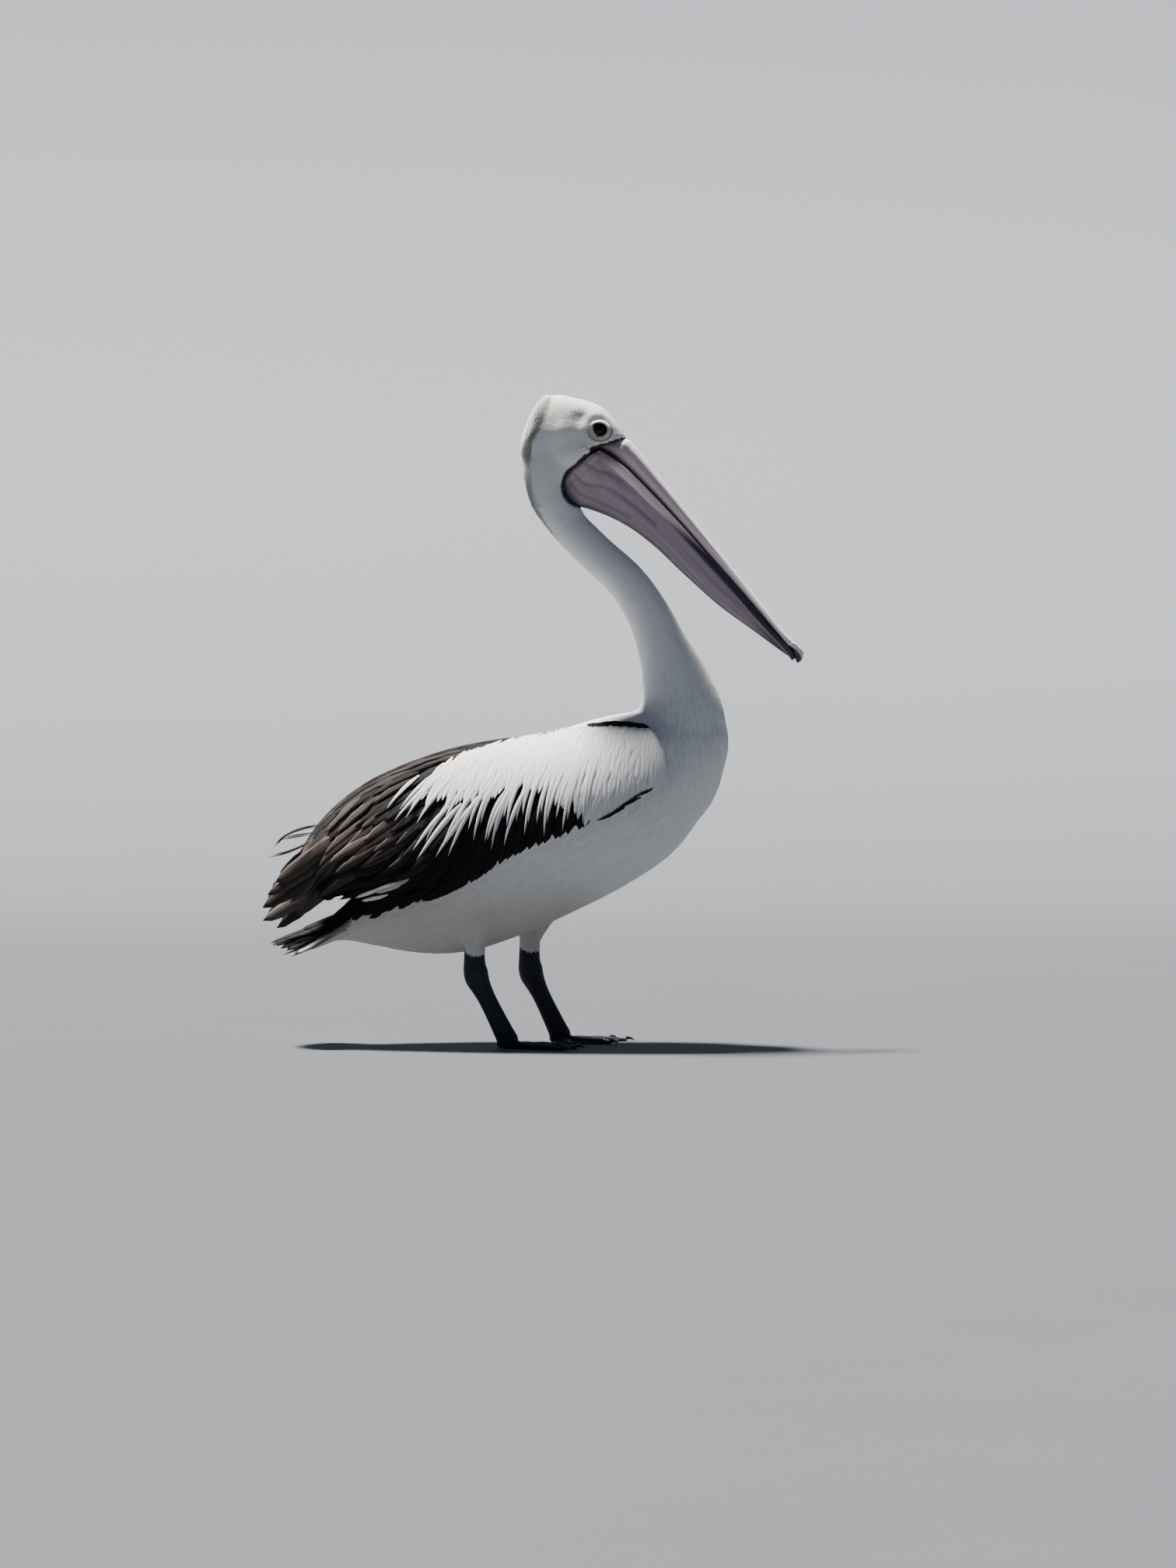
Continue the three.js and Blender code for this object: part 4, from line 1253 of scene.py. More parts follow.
def black_feathers(side):
    """Rows of black and brown feathers on one wing."""
    dark = []

    def black_row(u, angle, length, half, lift, grey, shape, steps=12, **more):
        more["from_tip"] = True
        dark.append(row(side, u, angle, length, half, lift, 1, grey, shape, steps, **more))

    for first, last, gap, angle, length, half, tip_lift, grey, shape, steps, bend in BLACK_ROWS:
        u = rows_between(first, last, gap)
        black_row(u, angle, length, half, (-9, tip_lift), grey, shape, steps, bend=bend)
    for angle, tip, worn in TERTIALS:
        u = rows_between(-160, tip + 30, 34)
        shade = worn * eased(-u, 150, 250) + 0.03
        stray = chance.normal(0, 1.5, len(u))
        black_row(u, angle + stray, 108, 9.5, (-8.5, -2.8), shade, POINTED, slope=17)
        black_row([tip, tip + 12], angle, 118, 9, (-7.5, -1.8), worn, POINTED, 14, slope=13)
    u, angle = np.array(BLEACHED).T
    black_row(u - 34, angle + 4, 84, 8, (-5, -0.8), 1, POINTED, slope=17)
    bleached = np.stack([np.ones(11), np.full(11, 0.5), chance.uniform(0.0, 0.5, 11)], 1)
    dark[-1] = dark[-1][:4] + (bleached,)
    for angle, first, last, length in SCAPULARS:
        u = rows_between(first, last, 26)
        shade = np.interp(u, [-345, -200, -90, -20, 60], [0.9, 1.0, 0.6, 0.15, 0.04])
        slope = np.interp(u, [-300, 60], [7, 3])
        black_row(u, angle, length, 9.5, (-7.5, -3.4), shade, POINTED, slope=slope)
    # A dark wedge between the mantle and the wing's upper edge: partly black scapulars, partly painted
    # shadow under the wing's raised edge.
    for lead, first in ((2, 230), (4, 226), (6, 220)):
        u = rows_between(first, 148, 7)
        edge = read_wing(u)[3] - lead * np.interp(u, [125, 165, 205], [0.35, 0.8, 1])
        slope = np.interp(u, [120, 165, 226], [-30, -34, -38])
        length = np.interp(u, [200, 230], [30, 10])
        black_row(u, edge, length, 5.0, (-6.0, -4.0), 0.05, POINTED, 7, slope=slope)
    # A thin dark line under the front of the wing: partly black feathers, partly painted shadow of the
    # wing's lower edge.
    black_row(rows_between(96, 162, 8, 0), 90.5, 34, 2.3, (-1.6, 0.5), 0.1, POINTED, 9, slope=-4)
    curls = np.array(CURLS, float)
    share = np.linspace(0, 1, 12)[:, None]
    bends = [(1 - share) ** 2, 2 * share * (1 - share), share**2]
    flat = sum(curls[:, None, i] * bend for i, bend in enumerate(bends))
    out = np.full(flat.shape[:2], side * 42.0) + 3 * side * np.arange(len(curls))[:, None]
    line = out_of(TRUNK_FRAME, np.stack([flat[..., 0], out, flat[..., 1]], -1))
    up = np.broadcast_to(unit(np.array([0, side * 1.0, 0.5])), line.shape)
    dark.append((line, up, curls[:, 0], outline(POINTED, [1.7, 1.5, 1.2], 12), tinted(3, 1, 0.3)))
    return dark


def white_feathers(side):
    """Rows of white feathers on one wing, which grow longer towards the lower edge."""
    white = []

    def white_row(u, angle, length, half, lift, shape, steps, **more):
        white.append(row(side, u, angle, length, half, lift, 0, 0.0, shape, steps, **more))

    def in_white(spots, stray, over, short):
        """Spots moved by chance, and which of them lie on the white of the wing."""
        u, angle = (np.array(spots) + chance.normal(0, stray, (len(spots), 2))).T
        first, last = straight(WHITE_WING, u)
        low, high = np.maximum(read_wing(u)[3], first - over), np.minimum(last - short, 89)
        fine = (angle > low) & (angle < high)
        return u[fine], angle[fine]

    spots = [
        (u, angle)
        for i, angle in enumerate(np.arange(4, 90, 3.8))
        for u in np.arange(236 - 4 * (i % 2), -118, -8)
    ]
    u, angle = in_white(spots, 1.2, 2, 12)
    front = eased(u, 70, 210)
    white_row(u, angle, 50 - 22 * front, 5.2 - 0.8 * front, (-2.7, -1.5), POINTED, 8)
    # Broad ones under them.
    spots = [(u, angle) for angle in np.arange(5, 88, 5.5) for u in np.arange(238, -110, -13)]
    white_row(*in_white(spots, 1.5, 0, 19), 40, 8.5, (-4.2, -2.9), ROUND, 6)
    # Short ones along the wing's upper edge.
    for lead, lift in ((0.6, -1.8), (2.6, -1.4), (4.6, -1.0)):
        u = rows_between(238, 134, 3.4)
        slope = 24 + chance.normal(0, 7, len(u))
        white_row(u, read_wing(u)[3] + lead, 17, 3.0, (-4.0, lift), POINTED, 6, slope=slope)
    for first, step, share, stray, half, lift in WHITE_LAYERS:
        tips = np.array(FINGERS)[first::step]
        u = tips[:, 0] + chance.uniform(-1, 1, len(tips)) * stray
        angle = tips[:, 1] - (1 - share) * 30 + chance.uniform(-1, 1, len(tips)) * stray * 0.2
        hang = {"bend": 14, "from_tip": True, "ragged": 0.05}
        white_row(u, angle, (tips[:, 2] + 10) * share, half, (-1.6, lift), LANCE, 14, **hang)
    # A few white feathers of the flank show behind, the first of them soiled.
    length, half = np.array([56, 66, 44]), np.array([5.4, 3.2, 2.8])
    flank = {"slope": 21, "from_tip": True}
    white_row([-256, -287, -280], [86, 91, 93], length, half, (-4, -0.2), ROUND, 12, **flank)
    white[-1] = white[-1][:4] + (np.array([[0, 0.7, 0.6], [0, 0, 0], [0, 0, 0]]),)
    return white


for side_name, side in SIDES.items():
    dark, white = black_feathers(side), white_feathers(side)
    wing_group("wing_black_" + side_name, dark, "flight_feathers", quills, 0.12, 0.0007, 0.0)
    wing_group("wing_white_" + side_name, white, "plumage", coverts, 0.16, 0.0006, 0.6)


def primaries(side_name, side):
    """The long quills of the wing tip."""
    root = np.array([PRIMARY_ROOT[0], side * PRIMARY_ROOT[2], PRIMARY_ROOT[1]])
    steps = 18
    share = np.linspace(0, 1, steps)[:, None]
    lines, halves, ups = [], [], []
    for i, (place, height, out, half) in enumerate(PRIMARIES):
        for k in range(2):
            tip = np.array([place + 7 * k, side * (out - 4 * k), height + 3 * k])
            start = root + np.array([0, side * (i * 1.5 - 4 * k), i * 12 - 4 * k])
            sag = np.array([0, side * 5, 2]) * (share * (1 - share)) * 4
            lines.append(start + (tip - start) * share + sag)
            halves.append(half)
            ups.append([0, side, 0.35])
    line = out_of(TRUNK_FRAME, np.array(lines))
    up = np.repeat(turned(TRUNK_FRAME, np.array(ups))[:, None], steps, 1)
    half = outline(QUILL, halves, steps, 0.2) * np.array([0.75, 1.2])
    count = len(lines)
    unwrap = spread(np.stack([np.arange(count) % 3, np.arange(count) // 3], 1))
    grey, cream = chance.uniform(0.2, 1, count), chance.random(count) ** 2 * 0.4
    marks = np.stack([np.ones(count), grey, cream], 1)
    piece = feathers("primaries_" + side_name, line, up, half, marks, unwrap, VANE, 0.14, 0.0011, 0.0)
    dressed(piece, quills, ["wing_quills_" + side_name, "wing_tip_" + side_name])


for side_name, side in SIDES.items():
    primaries(side_name, side)


# Layers of the tail: over or under the fan, how many, share of the length and of the breadth,
# and height.
TAIL_LAYERS = [[0, 13, 1, 1, 0], [1, 10, 0.62, 0.8, 4], [-1, 10, 0.7, 0.8, -7]]
# Pale feathers under the tail: place, height and distance out of each tip.
UNDER_TAIL = [[-430, 17, 58], [-420, 9, 62], [-402, 9, 66], [-386, 4, 62], [-374, 3, 54]]


def tail_fan():
    """The tail's quills, with shorter coverts over and under their roots."""
    steps = 16
    share = np.linspace(0, 1, steps)[:, None]
    lines, ups, halves, marks = [], [], [], []
    back, high = TAIL["root"]
    for layer, count, reach, breadth, lift in TAIL_LAYERS:
        for i in range(count):
            k = 2 * i / (count - 1) - 1
            angle = k * math.radians(TAIL["spread"])
            length = TAIL["length"] * (1 - 0.16 * k * k) * reach
            start = np.array([back + 4 * layer, k * 22, high - 4 * k * k + lift])
            rise = (14 - TAIL["droop"] * k * k) * reach + lift * 0.5 + 1.2 * (i % 2)
            tip = [back - length * math.cos(angle), k * 22 + length * math.sin(angle), high + rise]
            lines.append(start + (tip - start) * share)
            ups.append([0, 0.5 * k, 1])
            halves.append(TAIL["half"] * breadth)
            edge = layer == 0 and abs(k) > 0.95
            marks.append([0.0, 0.8, 0] if edge else [1, 0.12, 0] if layer >= 0 else [0.0, 0.35, 0])
    for u, w, out in UNDER_TAIL:
        for side in SIDES.values():
            start, tip = np.array([-290, side * out * 0.3, 2]), np.array([u, side * out, w])
            lines.append(start + (tip - start) * share)
            ups.append([0, side, -0.6])
            halves.append(6)
            marks.append([0.0, 1.0 if u < -395 else 0.25, 0])
    line = out_of(TRUNK_FRAME, np.array(lines))
    up = np.repeat(turned(TRUNK_FRAME, np.array(ups, float))[:, None], steps, 1)
    half = np.r_[outline(QUILL, halves[:-10], steps, 0.2), outline(LANCE, halves[-10:], steps, 0.2)]
    unwrap = spread(np.stack([np.arange(len(lines)) % 6, np.arange(len(lines)) // 6], 1))
    piece = feathers("tail_fan", line, up, half, np.array(marks), unwrap, VANE, 0.1, 0.001, 0.0)
    dressed(piece, quills, ["tail"])


tail_fan()

# ---------------------------------------------------------------- bill


def horn_finish():
    """Pink horn with a pale ridge, partly painted highlight; a grey groove and a darker root, both
    painted shade; and a dark cutting edge, partly its own colour and partly painted shadow of the
    closed gape.
    """
    finish = Finish("horn", roughness=0.4, coat_roughness=0.25)
    along, level, _ = finish.parts(finish.attribute("form"))
    place = finish.framed(BILL_FRAME)
    streaks = finish.noise(finish.stretched(place, (8, 110, 110)), 3.0, 5)
    blotch = finish.noise(finish.stretched(place, (30, 60, 60)), 1.6, 4)
    pink = finish.blend((0.74, 0.55, 0.58), (0.88, 0.74, 0.75), streaks)
    lilac = finish.blend((0.68, 0.61, 0.67), (0.82, 0.76, 0.79), blotch)
    ridge = level.step(0.55, 0.85)
    plate = level.step(-0.85, -0.45) * level.step(0.3, 0.05)
    groove = level.step(0.22, 0.32) * level.step(0.52, 0.40)
    colour = finish.layers(
        pink,
        (lilac, along.step(0.25, 0.9) * 0.75),
        # A paler ridge: partly the horn's own tone, partly painted highlight where the top catches the
        # light.
        ((0.94, 0.86, 0.84), ridge * (0.5 + 0.5 * streaks)),
        ((0.92, 0.85, 0.87), plate * (0.25 + 0.5 * streaks)),
        # Darker in the groove beside the ridge: painted shade.
        ((0.46, 0.37, 0.39), groove * (0.2 + 0.4 * blotch) * (1 - 0.6 * along)),
        # Darker purple at the root: painted shade where the bill leaves the head.
        ((0.26, 0.17, 0.22), along.step(0.13, 0.02) * level.step(0.95, 0.45) * 0.6),
        # Dark maroon along the cutting edge: partly the horn's own edge, partly painted shadow of the
        # closed gape.
        ((0.085, 0.012, 0.030), (level + 0.12 * streaks).step(-0.80, -0.94)),
    )
    gloss = {"roughness": 0.34 + 0.22 * streaks, "coat_weight": 0.10 + 0.15 * ridge}
    return finish.done(colour, streaks * 0.6 + blotch * 0.4, 0.0010, 0.45, **gloss)


def ramus_finish():
    """The lower bill's rods: mauve, pale on top near the root as a painted highlight, and slate from
    there to the tip, partly painted shade under the upper bill.
    """
    finish = Finish("ramus", roughness=0.45)
    along, level, _ = finish.parts(finish.attribute("form"))
    place = finish.framed(BILL_FRAME)
    streaks = finish.noise(finish.stretched(place, (8, 110, 110)), 3.0, 5)
    mauve = finish.blend((0.32, 0.22, 0.25), (0.45, 0.34, 0.355), streaks)
    rod_highlight = finish.blend((0.80, 0.61, 0.60), (0.93, 0.82, 0.81), streaks)
    # The pale pink over the upper part of the rods near the root is a painted highlight.
    lit = along.step(0.04, 0.12) * (level - 0.6 * along + 0.25 * streaks).step(-1.0, -0.45)
    # The slate, darkest high up and fading to mauve low down, is partly the rods' own colour and partly
    # painted shade under the upper bill.
    slate = finish.blend((0.014, 0.011, 0.034), (0.050, 0.036, 0.070), streaks)
    slate = finish.blend(slate, mauve, (level + 0.3 * streaks).step(-0.2, -0.8) * 0.8)
    colour = finish.layers(
        mauve,
        (rod_highlight, lit),
        (slate, (along - 0.10 * level + 0.05 * streaks).step(0.33, 0.50)),
        # Darkest along the top edge, under the upper bill: painted shadow of the closed gape.
        ((0.06, 0.008, 0.022), level.step(0.72, 0.92) * 0.95),
    )
    return finish.done(colour, streaks, 0.0008, 0.4, roughness=0.36 + 0.2 * streaks)


def pouch_finish():
    """Bare mauve skin with fine folds and veins, darkened in its creases and along its keel as painted
    shade.
    """
    finish = Finish("pouch_skin", roughness=0.5)
    along, level, _ = finish.parts(finish.attribute("form"))
    place = finish.framed(BILL_FRAME)
    folds = finish.noise(finish.stretched(place, (16, 60, 150)), 2.4, 6, 0.6)
    veins = finish.cells(finish.stretched(place, (30, 60, 120)), 1.3, "DISTANCE_TO_EDGE")
    grain = finish.cells(place, 900)
    colour = finish.layers(
        finish.blend((0.29, 0.225, 0.280), (0.51, 0.395, 0.435), folds),
        ((0.20, 0.115, 0.15), veins.step(0.06, 0.0) * folds * 0.45),
        ((0.56, 0.44, 0.40), along.step(0.13, 0.03) * level.step(0.2, -0.6) * 0.55),
        ((0.22, 0.15, 0.21), along.step(0.45, 1.0) * 0.7),
        ((0.05, 0.04, 0.055), along.step(0.80, 0.95) * 0.9),
        # Darker along the keel: painted shade under the pouch.
        ((0.060, 0.055, 0.075), level.step(-0.86, -0.99) * 0.8),
        # Darker in the creases: painted shade.
        ((0.10, 0.065, 0.095), finish.attribute("crease_shade", "Fac") * 0.42),
    )
    return finish.done(colour, folds * 0.8 + grain * 0.25, 0.0016, 0.55, roughness=0.42 + 0.25 * folds)


def nail_finish():
    """The hooked nail: cream above, darker below and at the tip, partly painted shade on its underside.
    """
    finish = Finish("nail", roughness=0.35)
    along, level, _ = finish.parts(finish.attribute("form"))
    streaks = finish.noise(finish.stretched(finish.framed(BILL_FRAME), (20, 110, 110)), 3.0, 4)
    colour = finish.blend((0.74, 0.69, 0.60), (0.90, 0.87, 0.80), streaks)
    # Darker towards the tip and low down: partly the nail's own dark tip, partly painted shade on its
    # underside.
    shade = (along * 0.9 - level * 0.8 + streaks * 0.3).step(0.50, 0.85)
    colour = finish.blend(colour, (0.045, 0.038, 0.045), shade)
    return finish.done(colour, streaks, 0.0008, 0.4)


def bill_relief(along, turn):
    """The groove on either side of the ridge, and the ridge standing over it."""
    t = np.degrees(np.abs(turn))
    deep = 1.0 - 0.7 * along
    groove = -deep * np.exp(-(((t - 70) / 9) ** 2))
    ridge = 0.7 * np.exp(-((t / 30) ** 4))
    return (groove + ridge) * eased(along, 0.0, 0.05)


def pouch_relief(along, turn):
    """Long folds of the pouch, deepest near its root."""
    t = np.abs(turn)
    folds = np.sin(t * 13 + 9 * along + 1.5 * np.sin(7 * along))
    folds += 0.6 * np.sin(t * 23 - 16 * along)
    slack = eased(along, 0.02, 0.12) * (1 - 0.65 * eased(along, 0.3, 1))
    return 0.55 * folds * slack


def bill_form(ridge, edge, wide):
    """Widest low down, close over the cutting edge."""
    tall = ridge - edge
    return 0, edge + 0.34 * tall, 0.66 * tall, 0.34 * tall, wide


def pouch_form(rim, keel, wide):
    """Widest high up, close under the rim."""
    return 0, rim - 0.13 * (rim - keel), 0.13 * (rim - keel), 0.87 * (rim - keel), wide


def rod_form(side):
    return lambda height, deep, out, thick: (side * out, height, deep, deep, thick)


horn = drawn("bill_upper_horn", 80, 170, BILL_FRAME, lofted(UPPER_BILL, bill_form), 2.2, bill_relief)
dressed(horn, horn_finish(), ["bill_upper"])
nail = drawn("bill_nail_horn", 40, 30, BILL_FRAME, hull(NAIL), 2.2)
dressed(nail, nail_finish(), ["bill_nail"])


def creased(piece, lines):
    """Presses creases into the sides of the pouch, along lines given by place and height, and keeps how
    deep they are, for painted shade in them.
    """
    points = points_of(piece.data)
    along, out, up = bill_place(points)
    here = np.stack([along, up], 1)
    deep = np.zeros(len(points))
    for line in lines:
        line = np.array(line, float)
        for a, b in zip(line, line[1:]):
            share = np.clip(((here - a) @ (b - a)) / ((b - a) @ (b - a)), 0, 1)
            gap = np.linalg.norm(here - a - share[:, None] * (b - a), axis=1)
            deep = np.maximum(deep, np.exp(-((gap / 2.5) ** 2)))
    rim = np.exp(-((behind_feather_line(points) / 2.4) ** 2)) * (along < 25)
    deep = np.maximum(deep, rim) * (out > 8)
    points[:, 1] -= np.sign(points[:, 1]) * deep * 1.2 * MM
    move(piece, points)
    keep(piece, "crease_shade", deep)
    return piece


# Creases of the pouch, as places along the bill and heights.
CREASES = [
    [[-8, -98], [8, -98], [22, -88], [33, -76], [50, -67], [85, -58], [130, -50]],
    [[-10, -74], [2, -70], [11, -67], [24, -56], [44, -49]],
    [[-4, -112], [14, -113], [34, -104], [60, -90], [95, -75]],
]

pouch = drawn("pouch_skin", 160, 270, BILL_FRAME, lofted(POUCH, pouch_form), 1.75, pouch_relief)
dressed(creased(pouch, CREASES), pouch_finish(), ["bill_pouch"])
rods = [drawn("rod", 24, 110, BILL_FRAME, lofted(RAMUS, rod_form(side)), 2.4) for side in (1, -1)]
dressed(joined("bill_lower_rods", rods), ramus_finish(), ["bill_lower"])


def gum_finish(name, first, second):
    """Dark bare skin at the edges of the mouth, darkened further as painted shade."""
    finish = Finish(name, roughness=0.45)
    grain = finish.noise(finish.place(), 260, 4)
    return finish.done(finish.blend(first, second, grain), grain, 0.0008, 0.5)


def lining_section(along):
    """The lining of the mouth shows as a dark line between the closed bills; its dark colour is partly
    painted shade inside the gape.
    """
    place = -12 + 410 * along
    _, edge, broad = read_bill(place)
    out = reader(RAMUS)(place)[2]
    wide = np.minimum(broad - 0.6, 100) * 0.5 + out * 0.5
    middle = np.stack([place, 0 * place, edge - 1.5], 1)
    return middle, UP, LEFT, 4.0 + 0 * place, 5.0 + 0 * place, wide


# Where the dark roll of skin runs between feathers and bill, darkened as painted shadow: place
# and height, from the throat to the ridge.
SEAM = [
    [32, -129], [16, -132.5], [4, -131], [-7, -124], [-14, -115], [-18, -106], [-18.5, -92],
    [-18, -77], [-20.5, -59], [-20, -49], [-15, -37], [-10, -24], [-6, -11], [-4.5, -5], [-4, -2],
]


def feather_seam():
    """A dark roll of bare skin where the head's feathers end, against the bill and the pouch: partly
    bare skin, partly painted shadow along that edge.
    """
    line = np.array(SEAM)
    run = np.r_[0, np.cumsum(np.linalg.norm(np.diff(line, axis=0), axis=1))]
    along, up = reader(np.c_[run, line])(np.linspace(0, run[-1], 110))
    outer = unit(np.stack([along - 20, up + 60], 1)) * 3.0
    spots = out_of(BILL_FRAME, np.stack([along + outer[:, 0], 0 * along, up + outer[:, 1]], 1))
    bill_out = bill_half(along + 1.5, np.maximum(up, -125)) * (up > -110)
    out = np.maximum(skin_out(spots[:, 0], spots[:, 2], 1, 0), bill_out) - 0.6
    out[-6:] *= [0.95, 0.85, 0.7, 0.5, 0.26, 0.0]
    out[:6] -= [2.4, 2, 1.5, 1, 0.5, 0.2]
    out = np.r_[out[:4], np.convolve(out, np.ones(9) / 9, "valid"), out[-4:]]
    path = np.stack([along, out, up], 1)
    path = np.concatenate([path, (path * np.array([1, -1, 1]))[::-1][1:]])
    way = unit(np.gradient(path, axis=0))
    away = flattened(path - np.array([20, 0, -60]), way)
    aside = np.cross(way, away)
    shares = np.linspace(0, 1, len(path))

    def section(along):
        middle, up, across = (
            np.stack(straight(np.c_[shares, part], along), 1) for part in (path, away, aside)
        )
        ends = np.minimum(eased(along, 0, 0.05), eased(-along, -1, -0.95))
        thick = (0.5 + 1.0 * ends) * (1 - 0.75 * eased(-np.abs(along - 0.5), -0.055, -0.01))
        return middle, up, across, thick, thick, thick * (1 + 0.12 * np.sin(along * 61))

    piece = drawn("feather_seam", 12, 260, BILL_FRAME, section)
    dressed(piece, gum_finish("seam_skin_painted_shade", (0.020, 0.012, 0.028), (0.060, 0.034, 0.060)))


feather_seam()
lining = drawn("mouth_lining", 32, 120, BILL_FRAME, lining_section)
dressed(lining, gum_finish("mouth_skin_painted_shade", (0.045, 0.008, 0.020), (0.12, 0.018, 0.04)))

# ---------------------------------------------------------------- eyes


def eye_finish():
    finish = Finish("eye", roughness=0.1, coat_weight=0.12, coat_roughness=0.02, sheen=0.14)
    x, _, z = finish.parts(finish.place())
    out = ((x - EYE.x) ** 2 + (z - EYE.z) ** 2) ** 0.5
    rays = finish.noise(finish.place(), 900, 2)
    iris = finish.blend((0.003, 0.002, 0.0015), (0.012, 0.007, 0.005), rays)
    return finish.set(base_color=finish.blend(iris, (0.002, 0.002, 0.002), out.step(0.0062, 0.0054)))


def orbit_finish():
    """The bare ring round the eye: dark at the lid, then cream, then olive grey."""
    finish = Finish("orbit", roughness=0.5)
    share = finish.attribute("share", "Fac")
    mottle = finish.noise(finish.place(), 500, 4)
    x, _, z = finish.parts(finish.place())
    low = ((x - EYE.x) * 0.6 - (z - EYE.z)).step(0.002, 0.014)
    colour = finish.layers(
        finish.blend((0.58, 0.55, 0.42), (0.84, 0.81, 0.68), mottle),
        ((0.42, 0.41, 0.33), low * 0.55),
        ((0.21, 0.20, 0.165), (share + 0.12 * mottle).step(0.70, 1.0)),
        ((0.012, 0.010, 0.009), (share + 0.04 * mottle).step(0.24, 0.13)),
    )
    return finish.done(colour, finish.cells(finish.place(), 900) + mottle, 0.0005, 0.45)


eye_material, orbit_material = eye_finish(), orbit_finish()


def eye(side_name, side):
    """The eyeball, its clear front standing a little proud."""
    deselect()
    centre = (EYE.x, side * EYE.y, EYE.z)
    bpy.ops.mesh.primitive_uv_sphere_add(
        segments=48, ring_count=32, radius=(EYE_RADIUS - 0.9) * MM, location=centre,
        rotation=(math.pi / 2, 0, 0),
    )
    bpy.ops.object.transform_apply()
    piece = named(bpy.context.object, "eyeball_" + side_name)
    points = points_of(piece.data)
    out = np.hypot(points[:, 0] - EYE.x, points[:, 2] - EYE.z) / MM
    front = side * (points[:, 1] - centre[1]) > 0
    points[:, 1] += side * front * 0.9 * MM * np.exp(-((out / 8) ** 4))
    move(piece, points)
    dressed(piece, eye_material, ["eye_" + side_name])


def orbit(side_name, side):
    """The ring of bare skin round the eye, with both lids at its inner edge."""
    deselect()
    bpy.ops.mesh.primitive_torus_add(
        major_segments=120, minor_segments=44, major_radius=1, minor_radius=0.25
    )
    piece = named(bpy.context.object, "orbit_" + side_name)
    ring = points_of(piece.data)
    turn = np.arctan2(ring[:, 1], ring[:, 0])
    reach = np.hypot(ring[:, 0], ring[:, 1]) - 1
    over = np.degrees(np.arctan2(ring[:, 2], reach))  # 0 at the outer edge, 180 at the inner
    share = np.clip(1 - np.abs(over) / 180, 0, 1)
    slit = np.stack([11.4 * np.cos(turn), 8.9 * np.sin(turn) - 0.2], 1)
    brim = np.stack([19.8 * np.cos(turn) + 1.8, 18.2 * np.sin(turn) - 1.2], 1)
    x, z = (slit + (brim - slit) * share[:, None] + np.array([EYE.x, EYE.z]) / MM).T
    surface = skin_out(x * MM, z * MM, side, 30) + 0.9
    lid = 31.2 + 2.4 * np.sin(np.clip(share / 0.45, 0, 1) * np.pi / 2)
    folds = 0.22 * np.cos(share * 2 * np.pi * 4.5) * eased(share, 0.15, 0.3) * eased(-share, -1, -0.8)
    folds += 0.10 * np.cos(turn * 41 + 6 * share) * eased(share, 0.3, 0.6)
    top = lid + (np.minimum(surface, 36.4) - lid) * eased(share, 0.35, 0.85) + folds
    top -= 1.5 * eased(share, 0.93, 1)
    y = np.where(over > 2, top, np.where(over < -2, top - 4.2, top - 0.5))
    move(piece, np.stack([x, side * y, z], 1) * MM)
    keep(piece, "share", share)
    outward(piece)
    dressed(piece, orbit_material)


for side_name, side in SIDES.items():
    eye(side_name, side)
    orbit(side_name, side)

# ---------------------------------------------------------------- legs and feet


def leg_finish():
    """Slate skin in small scales, with paler wear on the joints; the slate is darkened to near black,
    partly painted shade.
    """
    finish = Finish("leg_skin", roughness=0.5)
    place = finish.place()
    cells = finish.cells(finish.stretched(place, (1, 1, 0.8)), 330, "DISTANCE_TO_EDGE")
    patches = finish.noise(place, 55, 5)
    # Near-black navy: the legs' slate, darkened as painted shade.
    colour = finish.blend((0.0028, 0.0036, 0.016), (0.011, 0.014, 0.044), patches.step(0.3, 0.75))
    colour = finish.blend(colour, (0.004, 0.0045, 0.008), cells.step(0.08, 0.0) * 0.7)
    height = cells.step(0.0, 0.18) + patches * 0.5
    return finish.done(colour, height, 0.0009, 0.7, roughness=0.42 + 0.25 * patches)


def claw_finish():
    finish = Finish("claw", roughness=0.35)
    streaks = finish.noise(finish.place(), 300, 4)
    colour = finish.blend((0.012, 0.010, 0.010), (0.07, 0.058, 0.05), streaks)
    return finish.done(colour, streaks, 0.0006, 0.4)


leg_material, claw_material = leg_finish(), claw_finish()


def foot_frame(leg, mirror):
    x, y = leg["foot"]
    turn = Matrix.Rotation(math.radians(leg["turn"]), 4, "Z")
    size = Matrix.Diagonal((MM, mirror * MM, MM, 1))
    return np.array(Matrix.Translation(((x + AHEAD) * MM, y * MM, 0)) @ turn @ size)


def toe_section(length, angle, half):
    """Sections of a toe with three joints, flat on the floor."""
    way, across = heading(angle), heading(angle + 90)

    def section(along):
        tall = np.interp(along, [0, 0.3, 0.85, 0.97, 1], [14, 9.5, 7, 5, 3]) / 2
        knuckle = 1 + 0.10 * np.cos((along - 0.05) * 2 * np.pi * 3)
        broad = np.interp(along, [0, 0.3, 0.85, 0.97, 1], [1.4, 1.05, 0.92, 0.7, 0.4]) * knuckle
        middle = way * (along * length)[:, None] + UP * tall[:, None]
        return middle, UP, across, tall * knuckle, tall, half * broad

    return section


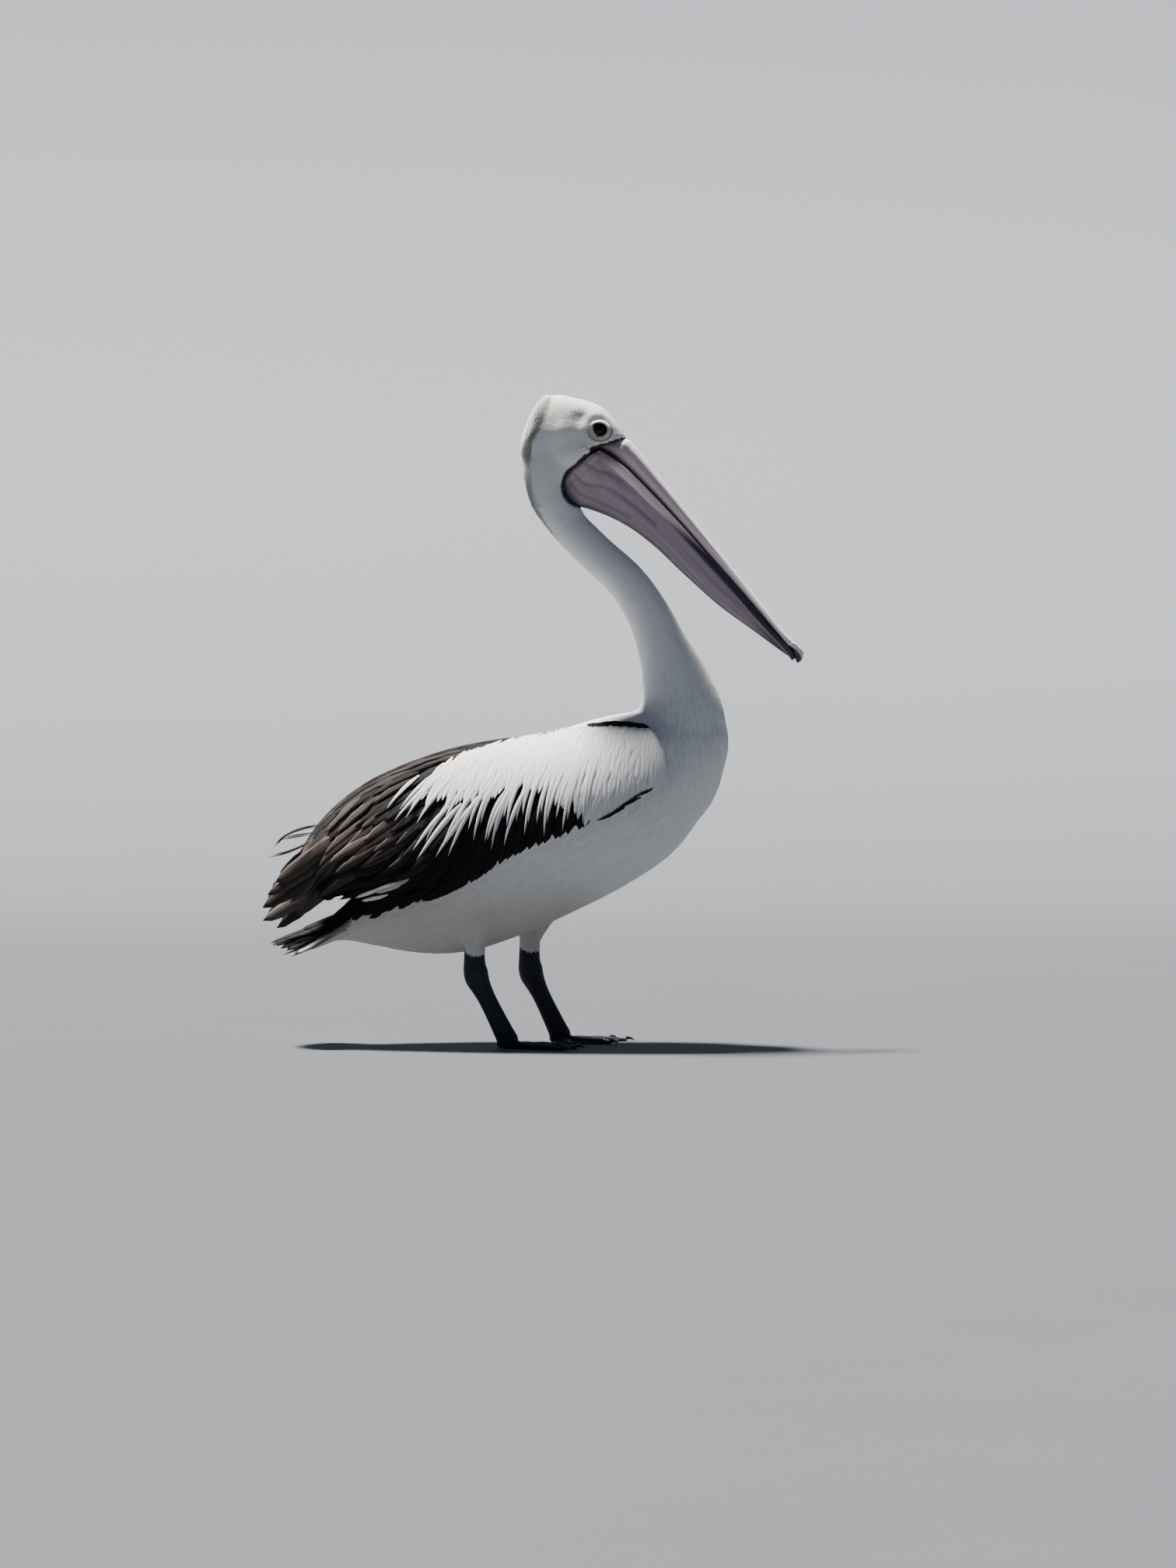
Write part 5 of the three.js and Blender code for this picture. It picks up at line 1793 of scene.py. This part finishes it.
def web(frame_of_foot):
    """The skin between all four toes, as a thin plate with scooped edges."""
    tips = []
    for length, angle, _ in TOES.values():
        tips.append(heading(angle)[:2] * length * 0.93)
    rim = [np.array([-6.0, 4.0])]
    for first, second in zip(tips, tips[1:]):
        dip = (first + second) * 0.455
        for s in np.linspace(0, 1, 12, endpoint=False):
            rim.append(first * (1 - s) ** 2 + 2 * dip * s * (1 - s) + second * s * s)
    rim += [tips[-1], np.array([-6.0, -6.0])]
    deselect()
    bpy.ops.mesh.primitive_circle_add(vertices=len(rim), radius=1, fill_type="NGON")
    piece = bpy.context.object
    flat = np.c_[np.array(rim), np.zeros(len(rim))]
    move(piece, out_of(frame_of_foot, flat))
    only(piece)
    bpy.ops.object.mode_set(mode="EDIT")
    bpy.ops.mesh.select_all(action="SELECT")
    bpy.ops.mesh.extrude_region_move(TRANSFORM_OT_translate={"value": (0, 0, 2.6 * MM)})
    bpy.ops.object.mode_set(mode="OBJECT")
    outward(piece)
    return piece


def leg_rows(leg):
    (ax, y, az), (fx, fy) = leg["ankle"], leg["foot"]
    lean = math.degrees(math.atan2(fx - ax, az - FOOT_TOP))

    def between(share, part, deep, wide):
        x, z = ax + (fx - ax) * share, az + (12 - az) * share
        return [x, y + (fy - y) * share, z, lean * part, deep, wide]

    return [
        [ax - 3, y, SHANK_TOP + 12, 0, 14, 9],
        [ax - 3, y, az + 24, 0, 15.5, 10.5],
        [ax - 1.5, y, az + 10, lean * 0.3, 17.5, 12.3],
        between(0.03, 0.6, 17, 12),
        between(0.18, 1, 14.2, 9.6),
        between(0.4, 1, 12.6, 7.8),
        between(0.84, 0.9, 14, 9.6),
        [fx - 1, fy, 14, lean * 0.4, 15.5, 11],
        [fx - 1, fy, 6, 0, 15, 11.5],
        [fx - 1, fy, 0.8, 0, 12, 9.5],
    ]


def leg_and_foot(side_name, leg):
    mirror = -1 if side_name == "left" else 1
    foot = foot_frame(leg, mirror)
    parts = [drawn("shank", 32, 70, BIRD, limb(leg_rows(leg), 1.2))]
    parts += [drawn("toe", 16, 40, foot, toe_section(*toe), 2.2) for toe in TOES.values()]
    parts.append(web(foot))
    piece = joined("leg_" + side_name, parts)
    modify(piece, "REMESH", mode="VOXEL", voxel_size=LEG_CELL)
    modify(piece, "SMOOTH", factor=0.5, iterations=3)
    points = points_of(piece.data)
    points[:, 2] = np.maximum(points[:, 2], 0.0001)
    move(piece, points)
    dressed(piece, leg_material, ["shank_" + side_name, "foot_" + side_name])
    for name, (length, angle, half) in TOES.items():
        way, across = heading(angle), heading(angle + 90)

        def section(along):
            tall = np.interp(along, [0, 0.4, 0.75, 1], [3.1, 2.4, 1.4, 0.4])
            broad = np.interp(along, [0, 0.4, 0.75, 1], [0.62, 0.5, 0.3, 0.08])
            reach = length - 1.5 + along * (CLAW_LENGTH + 1.5)
            arch = 1.5 * np.sin(np.pi * along)
            height = tall + 0.4 + 1.6 * (1 - along) + arch
            middle = way * reach[:, None] + UP * height[:, None]
            return middle, UP, across, tall, tall, half * broad

        claw = drawn("horn_" + name + "_" + side_name, 16, 20, foot, section)
        dressed(claw, claw_material, ["claw_" + name + "_" + side_name])


for side_name, leg in LEGS.items():
    leg_and_foot(side_name, leg)

# ---------------------------------------------------------------- floor and finish


def backdrop():
    """A pale floor that sweeps up behind the bird."""
    finish = Finish("backdrop", roughness=0.85)
    place = finish.place()
    grain = finish.noise(place, 2.5, 4)
    far = finish.parts(place)[1].step(2.0, 11.0)
    near_colour = finish.blend((0.070, 0.077, 0.090), (0.077, 0.085, 0.099), grain)
    finish.set(base_color=finish.blend(near_colour, (0.20, 0.22, 0.25), far))
    deselect()
    bpy.ops.mesh.primitive_grid_add(x_subdivisions=1, y_subdivisions=64, size=2)
    piece = bpy.context.object
    piece.name = "backdrop"
    points = points_of(piece.data)
    run = (points[:, 1] + 1) / 2 * 30
    bend = np.clip((run - 18) / 9.0, 0, 1.2)
    points[:, 0] *= 16
    points[:, 1] = np.minimum(run, 18) - 14 + 9.0 * np.sin(bend)
    points[:, 2] = 9.0 * (1 - np.cos(bend))
    move(piece, points)
    piece.data.materials.append(finish.material)
    piece.data.shade_smooth()


backdrop()
